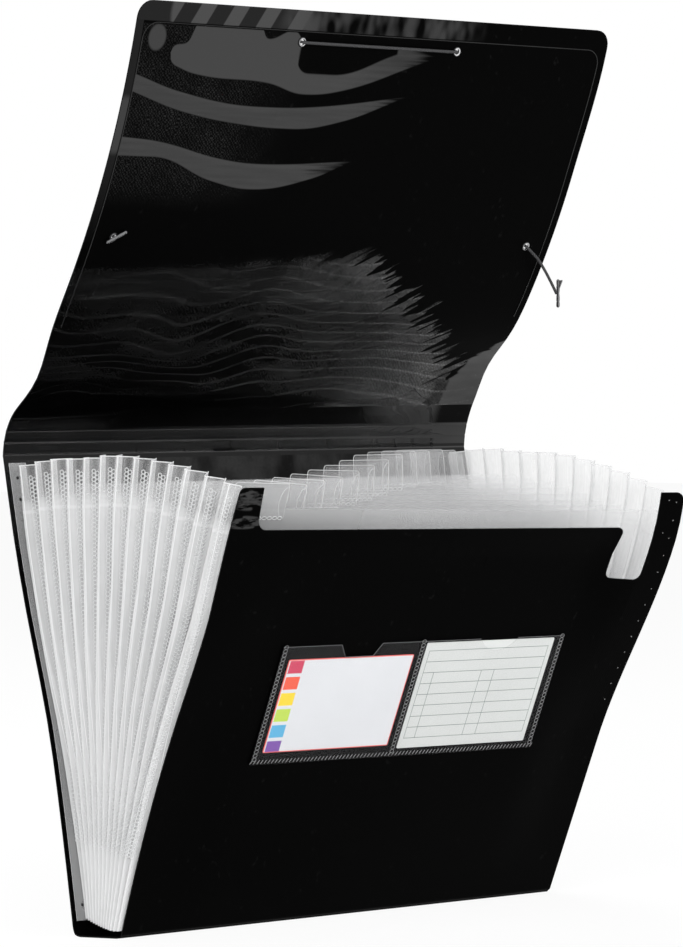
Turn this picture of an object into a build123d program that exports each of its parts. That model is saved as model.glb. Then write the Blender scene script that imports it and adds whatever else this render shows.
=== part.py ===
from build123d import *
from math import cos, degrees, radians, sin, sqrt, tan
import os

# Expanding file, standing on its base and fanned open, with its flap up.
# Millimetres and degrees. X runs along the file, the front faces -Y, Z is up.
# The origin is the middle of the underside of the base.

# The two sizes that the others follow: the width of the cover and the height of the leaves in it
cover_width = 330.0
leaf_height = 231.0

# Cover: one sheet, creased into front, base, back, flap strip and flap
cover_sheet = 0.8
front_inset = 12.0
front_rise = 15.0
back_rise = 19.0
base_depth = 30.0
crease_gap = 1.2
cover_corner = 3.0
front_width = cover_width - front_inset - front_inset
front_height = leaf_height + front_rise
back_height = leaf_height + back_rise

# Lean of the two outer panels away from upright, in the pose of the photograph
front_tilt = 23.3
back_tilt = 11.8

# Mouth of the front panel: a shallow cut between two ears, with a deep slot at the right
ear_width = 17.0
mouth_depth = 19.0
mouth_corner = 7.0
slot_width = 22.5
slot_depth = 31.0
slot_corner = 4.0
ear_corner = 5.0

# Flap: a strip that bends forward over the pockets, then a long panel that bends back
strip_length = 28.0
strip_root_tilt = 2.0
flap_root_tilt = 40.0
flap_length = 231.0
flap_end_tilt = 13.0
flap_corner = 9.0

# Leaves: the film sheets that part the pockets
pocket_count = 13
film_sheet = 0.3
leaf_inset = 15.5
leaf_corner = 3.0
leaf_lift = 0.6
leaf_width = cover_width - leaf_inset - leaf_inset

# Index tabs, stepped along the leaves, and their clear label sleeves
tab_width = 35.0
tab_height = 14.0
tab_corner = 3.0
tab_margin = 5.0
sleeve_film = 0.2
sleeve_slot = 0.3
sleeve_drop = 6.0
sleeve_inset = 1.0
sleeve_weld = 2.0
sleeve_notch_radius = 9.0
sleeve_notch_depth = 3.5

# Gussets: pleated film at both sides
gusset_rise = 15.0
gusset_height = leaf_height + gusset_rise
gusset_foot = 6.0
pleat_depth = 12.0
pleat_root_gap = 2.0
flange_width = 11.0
weld_gap = 0.1

# Card pocket on the front: clear film, welded at its sides, foot and middle
pocket_height = 67.0
pocket_foot = 95.0
pocket_film = 0.25
pocket_seam = 3.2
pocket_seam_height = 0.9
thumb_width = 28.0
thumb_depth = 7.0
thumb_slope = 4.5
thumb_shift = 45.0
thumb_right_radius = 16.0
thumb_right_shift = 51.0
part_gap = 0.02

# Cards
card_sheet = 0.35
card_corner = 0.8
index_card_width = 85.0
index_card_height = 53.0
index_card_foot = 101.5
index_card_left_gap = 3.3
index_card_right_gap = 2.4
lined_card_width = 91.0
lined_card_height = 61.5
lined_card_foot = 99.3
lined_card_left_gap = 1.6
lined_card_right_gap = 3.1

# Elastic cord, its eyelets and the metal bars on its ends
cord_diameter = 1.6
eyelet_bore = 2.8
eyelet_wall = 0.35
eyelet_flange = 5.4
eyelet_rim = 0.4
rim_round = 0.3
eyelet_clearance = 0.05
end_eyelet_span = 109.0
end_eyelet_inset = 16.5
side_eyelet_inset = 18.0
side_eyelet_run = 105.0
cord_clearance = 0.15
bar_length = 16.0
bar_width = 2.2
bar_sheet = 1.4
bar_turn = 31.0
bar_gap = 0.6
tail_bend_shift = (11.0, -1.3, -9.5)
tail_end_shift = (26.8, 4.2, -25.2)

overrun = 10.0

half_sheet = cover_sheet / 2
leaf_foot = cover_sheet + leaf_lift
fan_angle = front_tilt + back_tilt
valley_x = leaf_width / 2 + pleat_root_gap


def tilt_of(leaf):
    """Lean of a leaf towards the front; 0 is the back panel and pocket_count the front panel."""
    return fan_angle * leaf / pocket_count - back_tilt


def foot_of(leaf):
    """Where along the depth of the base a leaf stands."""
    return base_depth / 2 - base_depth * leaf / pocket_count


def leaf_plane(leaf, foot_height):
    """Plane of a leaf: local x along the file, local y up the leaf, facing the front."""
    lean = radians(tilt_of(leaf))
    return Plane(
        origin=(0, foot_of(leaf), foot_height), x_dir=(1, 0, 0), z_dir=(0, -cos(lean), -sin(lean))
    )


def save(piece, name):
    piece.part.label = name
    export_step(piece.part, f"parts/{name}.step")


os.makedirs("parts", exist_ok=True)
back_plane = leaf_plane(0, half_sheet)
front_plane = leaf_plane(pocket_count, half_sheet)

# Base: wider at the back than at the front, as the two panels are
base_front = crease_gap / 2 - base_depth / 2
base_back = base_depth / 2 - crease_gap / 2
with BuildPart() as base_spine:
    with BuildSketch(Plane.XY):
        with BuildLine():
            Polyline(
                (-front_width / 2, base_front),
                (front_width / 2, base_front),
                (cover_width / 2, base_back),
                (-cover_width / 2, base_back),
                close=True,
            )
        make_face()
    extrude(amount=cover_sheet)
save(base_spine, "base_spine")

with BuildPart() as back_panel:
    with BuildSketch(back_plane):
        with Locations((0, back_height / 2)):
            Rectangle(cover_width, back_height - crease_gap)
    extrude(amount=half_sheet, both=True)
save(back_panel, "back_panel")

# Front panel, with its mouth
ear_x = front_width / 2 - ear_width
slot_x = ear_x - slot_width
mouth_foot = front_height - mouth_depth
slot_foot = mouth_foot - slot_depth
front_outline = [
    (-front_width / 2, crease_gap / 2, cover_corner),
    (front_width / 2, crease_gap / 2, cover_corner),
    (front_width / 2, front_height, ear_corner),
    (ear_x, front_height, 0),
    (ear_x, slot_foot, slot_corner),
    (slot_x, slot_foot, slot_corner),
    (slot_x, mouth_foot, slot_corner),
    (-ear_x, mouth_foot, mouth_corner),
    (-ear_x, front_height, 0),
    (-front_width / 2, front_height, ear_corner),
]
with BuildPart() as front_panel:
    with BuildSketch(front_plane):
        with BuildLine():
            FilletPolyline(
                *[(x, y) for x, y, corner in front_outline],
                radius=[corner for x, y, corner in front_outline],
                close=True,
            )
        make_face()
    extrude(amount=half_sheet, both=True)
save(front_panel, "front_panel")

# Flap strip and flap: two arcs, one running into the other, seen from the side
hinge_y = base_depth / 2 + back_height * sin(radians(back_tilt))
hinge_z = half_sheet + back_height * cos(radians(back_tilt))
strip_radius = strip_length / radians(flap_root_tilt - strip_root_tilt)
strip_centre_y = hinge_y - strip_radius * cos(radians(strip_root_tilt))
strip_centre_z = hinge_z - strip_radius * sin(radians(strip_root_tilt))
crease_y = strip_centre_y + strip_radius * cos(radians(flap_root_tilt))
crease_z = strip_centre_z + strip_radius * sin(radians(flap_root_tilt))
flap_radius = flap_length / radians(flap_root_tilt - flap_end_tilt)
flap_centre_y = crease_y + flap_radius * cos(radians(flap_root_tilt))
flap_centre_z = crease_z + flap_radius * sin(radians(flap_root_tilt))


def flap_tilt(run):
    """Lean of the flap towards the front, at a run from its crease."""
    return flap_root_tilt - (flap_root_tilt - flap_end_tilt) * run / flap_length


def flap_point(x, run, lift):
    """A point over the flap: along the file, up the flap and off the face that shows in front."""
    lean = radians(flap_tilt(run))
    return (
        x,
        flap_centre_y - (flap_radius + lift) * cos(lean),
        flap_centre_z - (flap_radius + lift) * sin(lean),
    )


def flap_plane(x, run):
    """Plane on the flap's mid surface, facing the front."""
    lean = radians(flap_tilt(run))
    return Plane(origin=flap_point(x, run, 0), x_dir=(1, 0, 0), z_dir=(0, -cos(lean), -sin(lean)))


def bent_sheet(centre, radius, start, turn):
    """Section of a sheet bent to one radius."""
    with BuildSketch(Plane.YZ) as section:
        with BuildLine():
            near = CenterArc(centre, radius - half_sheet, start, turn)
            far = CenterArc(centre, radius + half_sheet, start, turn)
            Line(near @ 0, far @ 0)
            Line(near @ 1, far @ 1)
        make_face()
    return section.sketch


strip_trim = degrees(crease_gap / 2 / strip_radius)
strip_section = bent_sheet(
    (strip_centre_y, strip_centre_z),
    strip_radius,
    strip_root_tilt + strip_trim,
    flap_root_tilt - strip_root_tilt - strip_trim - strip_trim,
)
with BuildPart() as flap_strip:
    extrude(strip_section, amount=cover_width / 2, both=True)
save(flap_strip, "flap_strip")

end_eyelet_run = flap_length - end_eyelet_inset
side_eyelet_x = cover_width / 2 - side_eyelet_inset
eyelet_places = {
    "eyelet_side_left": (-side_eyelet_x, side_eyelet_run),
    "eyelet_end_left": (-end_eyelet_span / 2, end_eyelet_run),
    "eyelet_end_right": (end_eyelet_span / 2, end_eyelet_run),
    "eyelet_side_right": (side_eyelet_x, side_eyelet_run),
}
eyelet_radius = eyelet_bore / 2 + eyelet_wall
flap_trim = degrees(crease_gap / 2 / flap_radius)
half_turn = 180.0
flap_section = bent_sheet(
    (flap_centre_y, flap_centre_z),
    flap_radius,
    half_turn + flap_root_tilt - flap_trim,
    flap_end_tilt - flap_root_tilt + flap_trim,
)
with BuildPart() as flap_panel:
    extrude(flap_section, amount=cover_width / 2, both=True)
    across = flap_panel.edges().filter_by(lambda edge: edge.length < cover_sheet + half_sheet)
    fillet(across.sort_by(Axis.Z)[-2:], radius=flap_corner)
    for place in eyelet_places.values():
        with BuildSketch(flap_plane(*place)):
            Circle(eyelet_radius + eyelet_clearance)
        extrude(amount=overrun, both=True, mode=Mode.SUBTRACT)
save(flap_panel, "flap_panel")

# Eyelets: a barrel through the flap with a rolled rim on each face
rim_face = half_sheet + eyelet_clearance
rim_top = rim_face + eyelet_rim
eyelet_outline = [
    (eyelet_bore / 2, -rim_top, 0),
    (eyelet_flange / 2, -rim_top, rim_round),
    (eyelet_flange / 2, -rim_face, 0),
    (eyelet_radius, -rim_face, 0),
    (eyelet_radius, rim_face, 0),
    (eyelet_flange / 2, rim_face, 0),
    (eyelet_flange / 2, rim_top, rim_round),
    (eyelet_bore / 2, rim_top, 0),
]
for name, place in eyelet_places.items():
    face = flap_plane(*place)
    with BuildPart() as eyelet:
        with BuildSketch(Plane(origin=face.origin, x_dir=face.x_dir, z_dir=face.y_dir)):
            with BuildLine():
                FilletPolyline(
                    *[(x, y) for x, y, corner in eyelet_outline],
                    radius=[corner for x, y, corner in eyelet_outline],
                    close=True,
                )
            make_face()
        revolve(axis=Axis(face.origin, face.z_dir))
    save(eyelet, name)

# Leaves with their index tabs, and the label sleeves on the tabs; the first tab is at the front left
tab_count = pocket_count - 1
tab_pitch = (leaf_width - tab_width - tab_margin - tab_margin) / (tab_count - 1)
half_film = film_sheet / 2
sleeve_face = half_film + sleeve_slot
sleeve_foot = leaf_height - sleeve_drop
sleeve_top = leaf_height + tab_height - sleeve_inset
for leaf in range(1, pocket_count):
    tab_left = tab_margin - leaf_width / 2 + tab_pitch * (tab_count - leaf)
    tab_right = tab_left + tab_width
    leaf_top = leaf_height + tab_height
    leaf_outline = [
        (-leaf_width / 2, 0, 0),
        (leaf_width / 2, 0, 0),
        (leaf_width / 2, leaf_height, leaf_corner),
        (tab_right, leaf_height, 0),
        (tab_right, leaf_top, tab_corner),
        (tab_left, leaf_top, tab_corner),
        (tab_left, leaf_height, 0),
        (-leaf_width / 2, leaf_height, leaf_corner),
    ]
    with BuildPart() as divider:
        with BuildSketch(leaf_plane(leaf, leaf_foot)):
            with BuildLine():
                FilletPolyline(
                    *[(x, y) for x, y, corner in leaf_outline],
                    radius=[corner for x, y, corner in leaf_outline],
                    close=True,
                )
            make_face()
        extrude(amount=half_film, both=True)
    save(divider, f"divider_{leaf:02d}")

    sleeve_left = tab_left + sleeve_inset
    sleeve_right = tab_right - sleeve_inset
    with BuildPart() as tab_sleeve:
        with BuildSketch(leaf_plane(leaf, leaf_foot).offset(sleeve_face)):
            with Locations((sleeve_left, sleeve_foot)):
                Rectangle(tab_width - sleeve_inset - sleeve_inset, sleeve_top - sleeve_foot,
                          align=(Align.MIN, Align.MIN))
            with Locations((sleeve_right + sleeve_notch_radius - sleeve_notch_depth,
                            (sleeve_foot + sleeve_top) / 2)):
                Circle(sleeve_notch_radius, mode=Mode.SUBTRACT)
        extrude(amount=sleeve_film)
        with BuildSketch(leaf_plane(leaf, leaf_foot).offset(half_film + part_gap)):
            with Locations((sleeve_left, sleeve_foot)):
                Rectangle(tab_width - sleeve_inset - sleeve_inset, sleeve_weld,
                          align=(Align.MIN, Align.MIN))
            with Locations((sleeve_left, sleeve_foot + sleeve_weld + part_gap)):
                Rectangle(sleeve_weld, sleeve_top - sleeve_foot - sleeve_weld - part_gap,
                          align=(Align.MIN, Align.MIN))
        extrude(amount=sleeve_slot - part_gap - part_gap)
    save(tab_sleeve, f"tab_sleeve_{leaf:02d}")

# Gussets: thirteen pleats, ruled from a tight zigzag at the foot to a wide one at the top
gusset_top = leaf_foot + gusset_height + overrun


def fold_line(leaf, height):
    """Depth at which the gusset meets a leaf, at a height above the base's underside."""
    depth = foot_of(leaf) - (height - leaf_foot) * tan(radians(tilt_of(leaf)))
    inset = (half_sheet + weld_gap + half_film) / cos(radians(tilt_of(leaf)))
    if leaf == 0:
        return depth - inset
    if leaf == pocket_count:
        return depth + inset
    return depth


def zigzag(height, side):
    """Outline of the folded film at a height, on the right for side 1 and on the left for side -1."""
    depths = [fold_line(leaf, height) for leaf in range(pocket_count + 1)]
    half_gap = (depths[0] - depths[-1]) / pocket_count / 2
    reach = sqrt(pleat_depth**2 - half_gap**2)
    shift = half_film * pleat_depth / half_gap
    folds = []
    for near, far in zip(depths, depths[1:]):
        folds.append((valley_x, near))
        folds.append((valley_x + reach, (near + far) / 2))
    folds.append((valley_x, depths[-1]))
    outer = [(side * (x + shift), y) for x, y in folds]
    inner = [(side * (x - shift), y) for x, y in reversed(folds)]
    return outer + inner


fan_tops = [
    (
        foot_of(leaf) - gusset_height * sin(radians(tilt_of(leaf))),
        leaf_foot + gusset_height * cos(radians(tilt_of(leaf))),
    )
    for leaf in range(pocket_count + 1)
]
trim_back = fold_line(0, gusset_top) + overrun
trim_front = fold_line(pocket_count, gusset_top) - overrun
for name, side in (("gusset_left", -1), ("gusset_right", 1)):
    with BuildPart() as gusset:
        for height in (gusset_foot, gusset_top):
            with BuildSketch(Plane.XY.offset(height)):
                with BuildLine():
                    Polyline(*zigzag(height, side), close=True)
                make_face()
        loft(ruled=True)
        with BuildSketch(Plane.YZ):
            with BuildLine():
                Polyline(
                    (trim_back, fan_tops[0][1]),
                    *fan_tops,
                    (trim_front, fan_tops[-1][1]),
                    (trim_front, gusset_top + overrun),
                    (trim_back, gusset_top + overrun),
                    close=True,
                )
            make_face()
        extrude(amount=cover_width, both=True, mode=Mode.SUBTRACT)
        with BuildSketch(back_plane.offset(half_sheet + weld_gap)):
            with Locations((side * (valley_x + flange_width / 2), (gusset_foot + gusset_height) / 2)):
                Rectangle(flange_width, gusset_height - gusset_foot)
        extrude(amount=film_sheet)
    save(gusset, name)

# Card pocket: film held off the front panel by its seams, a bay for each card
index_bay = index_card_left_gap + index_card_width + index_card_right_gap
lined_bay = lined_card_left_gap + lined_card_width + lined_card_right_gap
pocket_width = index_bay + lined_bay + pocket_seam + pocket_seam + pocket_seam
index_bay_x = pocket_seam - pocket_width / 2
middle_seam_x = index_bay_x + index_bay + pocket_seam / 2
lined_bay_x = middle_seam_x + pocket_seam / 2
pocket_top = pocket_foot + pocket_height
pocket_face = half_sheet + pocket_seam_height
thumb_left = -thumb_shift - thumb_width / 2
thumb_right = -thumb_shift + thumb_width / 2
with BuildPart() as card_pocket:
    with BuildSketch(front_plane.offset(pocket_face)):
        with BuildLine():
            Polyline(
                (-pocket_width / 2, pocket_foot),
                (pocket_width / 2, pocket_foot),
                (pocket_width / 2, pocket_top),
                (thumb_right, pocket_top),
                (thumb_right - thumb_slope, pocket_top - thumb_depth),
                (thumb_left + thumb_slope, pocket_top - thumb_depth),
                (thumb_left, pocket_top),
                (-pocket_width / 2, pocket_top),
                close=True,
            )
        make_face()
        with Locations((thumb_right_shift, pocket_top + thumb_right_radius - thumb_depth)):
            Circle(thumb_right_radius, mode=Mode.SUBTRACT)
    extrude(amount=pocket_film)
save(card_pocket, "card_pocket")

seam_height = pocket_height - pocket_seam - part_gap
seam_foot = pocket_foot + pocket_seam + part_gap
with BuildPart() as pocket_seams:
    with BuildSketch(front_plane.offset(half_sheet + part_gap)):
        with Locations((0, pocket_foot + pocket_seam / 2)):
            Rectangle(pocket_width, pocket_seam)
        with Locations(
            (pocket_seam / 2 - pocket_width / 2, seam_foot + seam_height / 2),
            (middle_seam_x, seam_foot + seam_height / 2),
            (pocket_width / 2 - pocket_seam / 2, seam_foot + seam_height / 2),
        ):
            Rectangle(pocket_seam, seam_height)
    extrude(amount=pocket_seam_height - part_gap - part_gap)
save(pocket_seams, "pocket_seams")

# Cards, half way between the panel and the film
card_face = half_sheet + (pocket_seam_height - card_sheet) / 2
card_places = {
    "index_card": (
        index_bay_x + index_card_left_gap, index_card_foot, index_card_width, index_card_height
    ),
    "lined_card": (
        lined_bay_x + lined_card_left_gap, lined_card_foot, lined_card_width, lined_card_height
    ),
}
for name, (left, foot, width, height) in card_places.items():
    with BuildPart() as card:
        with BuildSketch(front_plane.offset(card_face)):
            with Locations((left + width / 2, foot + height / 2)):
                RectangleRounded(width, height, card_corner)
        extrude(amount=card_sheet)
    save(card, name)

# Elastic: one cord, laced through the four eyelets, with a bar on each end
cord_lift = rim_top + cord_clearance + cord_diameter / 2
bar_lift = rim_top + cord_clearance
side_left, end_left, end_right, side_right = eyelet_places.values()
tail_start = flap_point(*side_right, cord_lift)
tail_bend = tuple(start + shift for start, shift in zip(tail_start, tail_bend_shift))
tail_end = tuple(start + shift for start, shift in zip(tail_start, tail_end_shift))
cord_route = [
    flap_point(*side_left, bar_lift - cord_clearance / 2),
    flap_point(*side_left, -cord_lift),
    flap_point(*end_left, -cord_lift),
    flap_point(*end_left, cord_lift),
    flap_point(*end_right, cord_lift),
    flap_point(*end_right, -cord_lift),
    flap_point(*side_right, -cord_lift),
    tail_start,
    tail_bend,
    tail_end,
]
bend_share = 0.45
cord_radii = []
for before, here, after in zip(cord_route, cord_route[1:], cord_route[2:]):
    run_in = Vector(here) - Vector(before)
    run_out = Vector(after) - Vector(here)
    turn = radians(run_in.get_angle(run_out))
    cord_radii.append(bend_share * min(run_in.length, run_out.length) / tan(turn / 2))
print("cord bend radii:", [round(radius, 2) for radius in cord_radii])
with BuildPart() as elastic_cord:
    with BuildLine() as cord_path:
        FilletPolyline(*cord_route, radius=cord_radii)
    with BuildSketch(Plane(origin=cord_path.line @ 0, z_dir=cord_path.line % 0)):
        Circle(cord_diameter / 2)
    sweep(path=cord_path.line)
print("cord length:", round(sum(edge.length for edge in cord_path.edges()), 1))
save(elastic_cord, "elastic_cord")

with BuildPart() as bar_left:
    with BuildSketch(flap_plane(*side_left).offset(bar_lift)):
        SlotOverall(bar_length, bar_width, rotation=bar_turn)
    extrude(amount=bar_sheet)
save(bar_left, "bar_left")

bar_x = tail_end[0] + bar_gap + bar_sheet / 2
with BuildPart() as bar_right:
    with BuildSketch(Plane(origin=(bar_x, tail_end[1], tail_end[2]), x_dir=(0, 1, 0), z_dir=(1, 0, 0))):
        SlotOverall(bar_length, bar_width, rotation=half_turn / 2)
    extrude(amount=bar_sheet / 2, both=True)
save(bar_right, "bar_right")
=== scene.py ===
"""Looks of the expanding file: a black sheet cover over thirteen pleated film pockets, flap up."""
import math

import bmesh
import bpy
from mathutils import Matrix, Vector


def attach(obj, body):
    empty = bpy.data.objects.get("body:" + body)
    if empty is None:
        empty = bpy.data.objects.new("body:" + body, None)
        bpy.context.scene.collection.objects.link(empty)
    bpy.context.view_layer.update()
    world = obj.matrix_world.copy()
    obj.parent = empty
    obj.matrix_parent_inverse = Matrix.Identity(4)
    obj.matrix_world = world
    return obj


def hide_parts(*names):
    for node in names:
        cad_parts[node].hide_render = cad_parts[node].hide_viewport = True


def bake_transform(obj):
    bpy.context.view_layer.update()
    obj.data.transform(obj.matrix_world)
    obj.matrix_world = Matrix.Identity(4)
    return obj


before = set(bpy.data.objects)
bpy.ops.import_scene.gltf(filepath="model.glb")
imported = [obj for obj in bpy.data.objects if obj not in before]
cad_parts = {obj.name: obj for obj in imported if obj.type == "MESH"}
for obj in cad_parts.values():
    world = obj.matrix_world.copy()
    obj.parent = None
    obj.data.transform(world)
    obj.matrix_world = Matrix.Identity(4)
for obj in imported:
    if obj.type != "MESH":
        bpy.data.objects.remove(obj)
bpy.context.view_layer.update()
MM = 0.001

# Sizes of the file in millimetres and degrees, as in the part's source
POCKETS = 13
COVER_WIDTH, COVER_SHEET = 330.0, 0.8
FRONT_WIDTH, FRONT_HEIGHT, BACK_HEIGHT, BASE_DEPTH = 306.0, 246.0, 250.0, 30.0
FRONT_TILT, BACK_TILT = 23.3, 11.8
EAR_WIDTH, MOUTH_DEPTH, SLOT_WIDTH, SLOT_DEPTH = 17.0, 19.0, 22.5, 31.0
EAR_CORNER, SLOT_CORNER, MOUTH_CORNER = 5.0, 4.0, 7.0
STRIP_LENGTH, STRIP_TILT = 28.0, 2.0
FLAP_LENGTH, FLAP_TILT, FLAP_END_TILT, FLAP_CORNER = 231.0, 40.0, 13.0, 9.0
LEAF_WIDTH, LEAF_HEIGHT, LEAF_FOOT, LEAF_FILM, LEAF_CORNER = 299.0, 231.0, 1.4, 0.3, 3.0
TAB_WIDTH, TAB_HEIGHT, TAB_MARGIN, TAB_CORNER = 35.0, 14.0, 5.0, 1.6
GUSSET_FOOT, GUSSET_HEIGHT, PLEAT_DEPTH, VALLEY_X = 6.0, 246.0, 12.0, 151.5
FLANGE_WIDTH, WELD_GAP = 11.0, 0.1
POCKET_LEFT, POCKET_RIGHT, POCKET_FOOT, POCKET_TOP = -98.0, 98.0, 95.0, 162.0
POCKET_SEAM, POCKET_RISE, POCKET_FILM, MIDDLE_SEAM = 3.2, 0.9, 0.25, -2.5
INDEX_CARD = (-91.5, 101.5, 85.0, 53.0)
LINED_CARD = (0.7, 99.3, 91.0, 61.5)
CARD_SHEET, CARD_CORNER = 0.35, 0.8
SIDE_EYELET, END_EYELET = (147.0, 105.0), (54.5, 214.5)
EYELET_BORE, EYELET_HOLE, EYELET_FLANGE, EYELET_FACE, EYELET_RIM = 2.8, 1.8, 5.4, 0.45, 0.4
CORD_DIAMETER, CORD_LIFT, CORD_END_LIFT = 1.6, 1.8, 0.925
BAR_LENGTH, BAR_WIDTH, BAR_SHEET, BAR_TURN = 16.0, 2.2, 1.4, 31.0

HALF_SHEET = COVER_SHEET / 2
FAN = FRONT_TILT + BACK_TILT


def radial(tilt):
    """Cosine and sine of a tilt in degrees."""
    return math.cos(math.radians(tilt)), math.sin(math.radians(tilt))


# Places on the file: each takes a place along the file, a run up the sheet and a lift off its front face
def soft_step(value):
    """0 to 1 with a smooth start and end."""
    value = min(max(value, 0.0), 1.0)
    return value * value * (3.0 - 2.0 * value)


def bow(x, run):
    """How far the front panel swells forward.

    It is dished at the lower left, flared at the upper right, and even where the cards slide.
    """
    flare_rise, flare_drop, dish_depth, dish_height, hold_depth = 10.5, 4.0, 4.6, 178.0, 5.0
    right = 0.5 + x / FRONT_WIDTH
    flare = flare_rise * soft_step((run - 95.0) / 120.0) - flare_drop * max((run - 215.0) / 31.0, 0.0) ** 2
    dish = -dish_depth * math.sin(math.pi * run / dish_height) if 0.0 < run < dish_height else 0.0
    hold = -hold_depth * soft_step((run - 140.0) / 106.0)
    swell = flare * right + (dish + hold) * (1.0 - right)
    even = (0.25 + 0.022 * x) * soft_step(run / 80.0)
    calm = (1.0 - soft_step((abs(x) - POCKET_RIGHT) / 40.0)) * (1.0 - soft_step((run - 207.0) / 22.0))
    return even * calm + swell * (1.0 - calm)


def back_bow(x, run):
    """How far the back panel's lower left is pushed forward."""
    push, belly_depth, belly_height = 7.0, 1.8, 160.0
    lower = push * (1.0 - soft_step((run - 90.0) / 130.0))
    belly = belly_depth * math.sin(math.pi * run / belly_height) if 0.0 < run < belly_height else 0.0
    return (lower + belly) * (0.5 - x / COVER_WIDTH)


def fan_place(leaf, foot):
    """Surface of a leaf of the fan; 0 is the back panel and POCKETS the front panel."""
    lean_y, lean_z = radial(FAN * leaf / POCKETS - BACK_TILT)
    start = BASE_DEPTH / 2 - BASE_DEPTH * leaf / POCKETS
    share = leaf / POCKETS

    def place(x, run, lift=0.0):
        out = lift + share * bow(x, run) + (1.0 - share) * back_bow(x, run)
        return Vector((x, start - run * lean_z - out * lean_y, foot + run * lean_y - out * lean_z))
    return place


front_place = fan_place(POCKETS, HALF_SHEET)
back_place = fan_place(0, HALF_SHEET)

hinge = back_place(0.0, BACK_HEIGHT)
strip_radius = STRIP_LENGTH / math.radians(FLAP_TILT - STRIP_TILT)
strip_y = hinge.y - strip_radius * radial(STRIP_TILT)[0]
strip_z = hinge.z - strip_radius * radial(STRIP_TILT)[1]
crease_y = strip_y + strip_radius * radial(FLAP_TILT)[0]
crease_z = strip_z + strip_radius * radial(FLAP_TILT)[1]
flap_radius = FLAP_LENGTH / math.radians(FLAP_TILT - FLAP_END_TILT)
flap_y = crease_y + flap_radius * radial(FLAP_TILT)[0]
flap_z = crease_z + flap_radius * radial(FLAP_TILT)[1]


def flap_place(x, run, lift=0.0):
    """Surface of the strip, at runs below 0, and of the flap, whose run starts at its crease."""
    end_swell, foot_twist, foot_run = 4.0, 11.0, 22.0
    side = x / COVER_WIDTH
    swell = end_swell * (0.5 + side) * soft_step((run - 150.0) / 80.0)
    lift += swell - foot_twist * side * math.exp(-((run - foot_run) / foot_run) ** 2)
    if run < 0.0:
        across, up = radial(FLAP_TILT + (FLAP_TILT - STRIP_TILT) * run / STRIP_LENGTH)
        return Vector((x, strip_y + (strip_radius - lift) * across, strip_z + (strip_radius - lift) * up))
    across, up = radial(FLAP_TILT - (FLAP_TILT - FLAP_END_TILT) * run / FLAP_LENGTH)
    return Vector((x, flap_y - (flap_radius + lift) * across, flap_z - (flap_radius + lift) * up))


def cover_place(x, run, lift=0.0):
    """Surface of the base, at runs below 0, and of the back panel above it, with a round crease."""
    turn = 5.0
    corner = back_place(x, 0.0)
    corner.z = HALF_SHEET
    depth = corner.y + BASE_DEPTH / 2
    if run <= -turn:
        return Vector((x, corner.y + run * depth / BASE_DEPTH, HALF_SHEET + lift))
    if run >= turn:
        return back_place(x, run, lift)
    share = (run + turn) / (2 * turn)
    lower, upper = Vector((x, corner.y - turn * depth / BASE_DEPTH, HALF_SHEET)), back_place(x, turn)
    middle = lower * (1 - share) ** 2 + corner * 2 * share * (1 - share) + upper * share ** 2
    lean = math.radians(90.0 * (1 - share) - BACK_TILT * share)
    return middle + Vector((0.0, -math.cos(lean), math.sin(lean))) * lift


class Term:
    """One socket of a finish. Sums and products of terms become Math nodes."""

    def __init__(self, paint, socket):
        self.paint, self.socket = paint, socket

    def maths(self, operation, *values):
        return self.paint.node("ShaderNodeMath", {"operation": operation}, *values)

    def __add__(self, other):
        return self.maths("ADD", self, other)

    def __sub__(self, other):
        return self.maths("SUBTRACT", self, other)

    def __rsub__(self, other):
        return self.maths("SUBTRACT", other, self)

    def __mul__(self, other):
        return self.maths("MULTIPLY", self, other)

    def __truediv__(self, other):
        return self.maths("DIVIDE", self, other)

    def __pow__(self, other):
        return self.maths("POWER", self, other)

    def __abs__(self):
        return self.maths("ABSOLUTE", self)

    __radd__, __rmul__ = __add__, __mul__

    def wave(self):
        return self.maths("SINE", self)

    def least(self, other):
        return self.maths("MINIMUM", self, other)

    def most(self, other):
        return self.maths("MAXIMUM", self, other)

    def within(self, period):
        return self.maths("FLOORED_MODULO", self, period)

    def over(self, edge, soft):
        """1 where the term is above the edge, 0 below, with a soft step between."""
        smooth_step = {"interpolation_type": "SMOOTHSTEP"}
        return self.paint.node("ShaderNodeMapRange", smooth_step, self, edge - soft, edge + soft, 0.0, 1.0)


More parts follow.
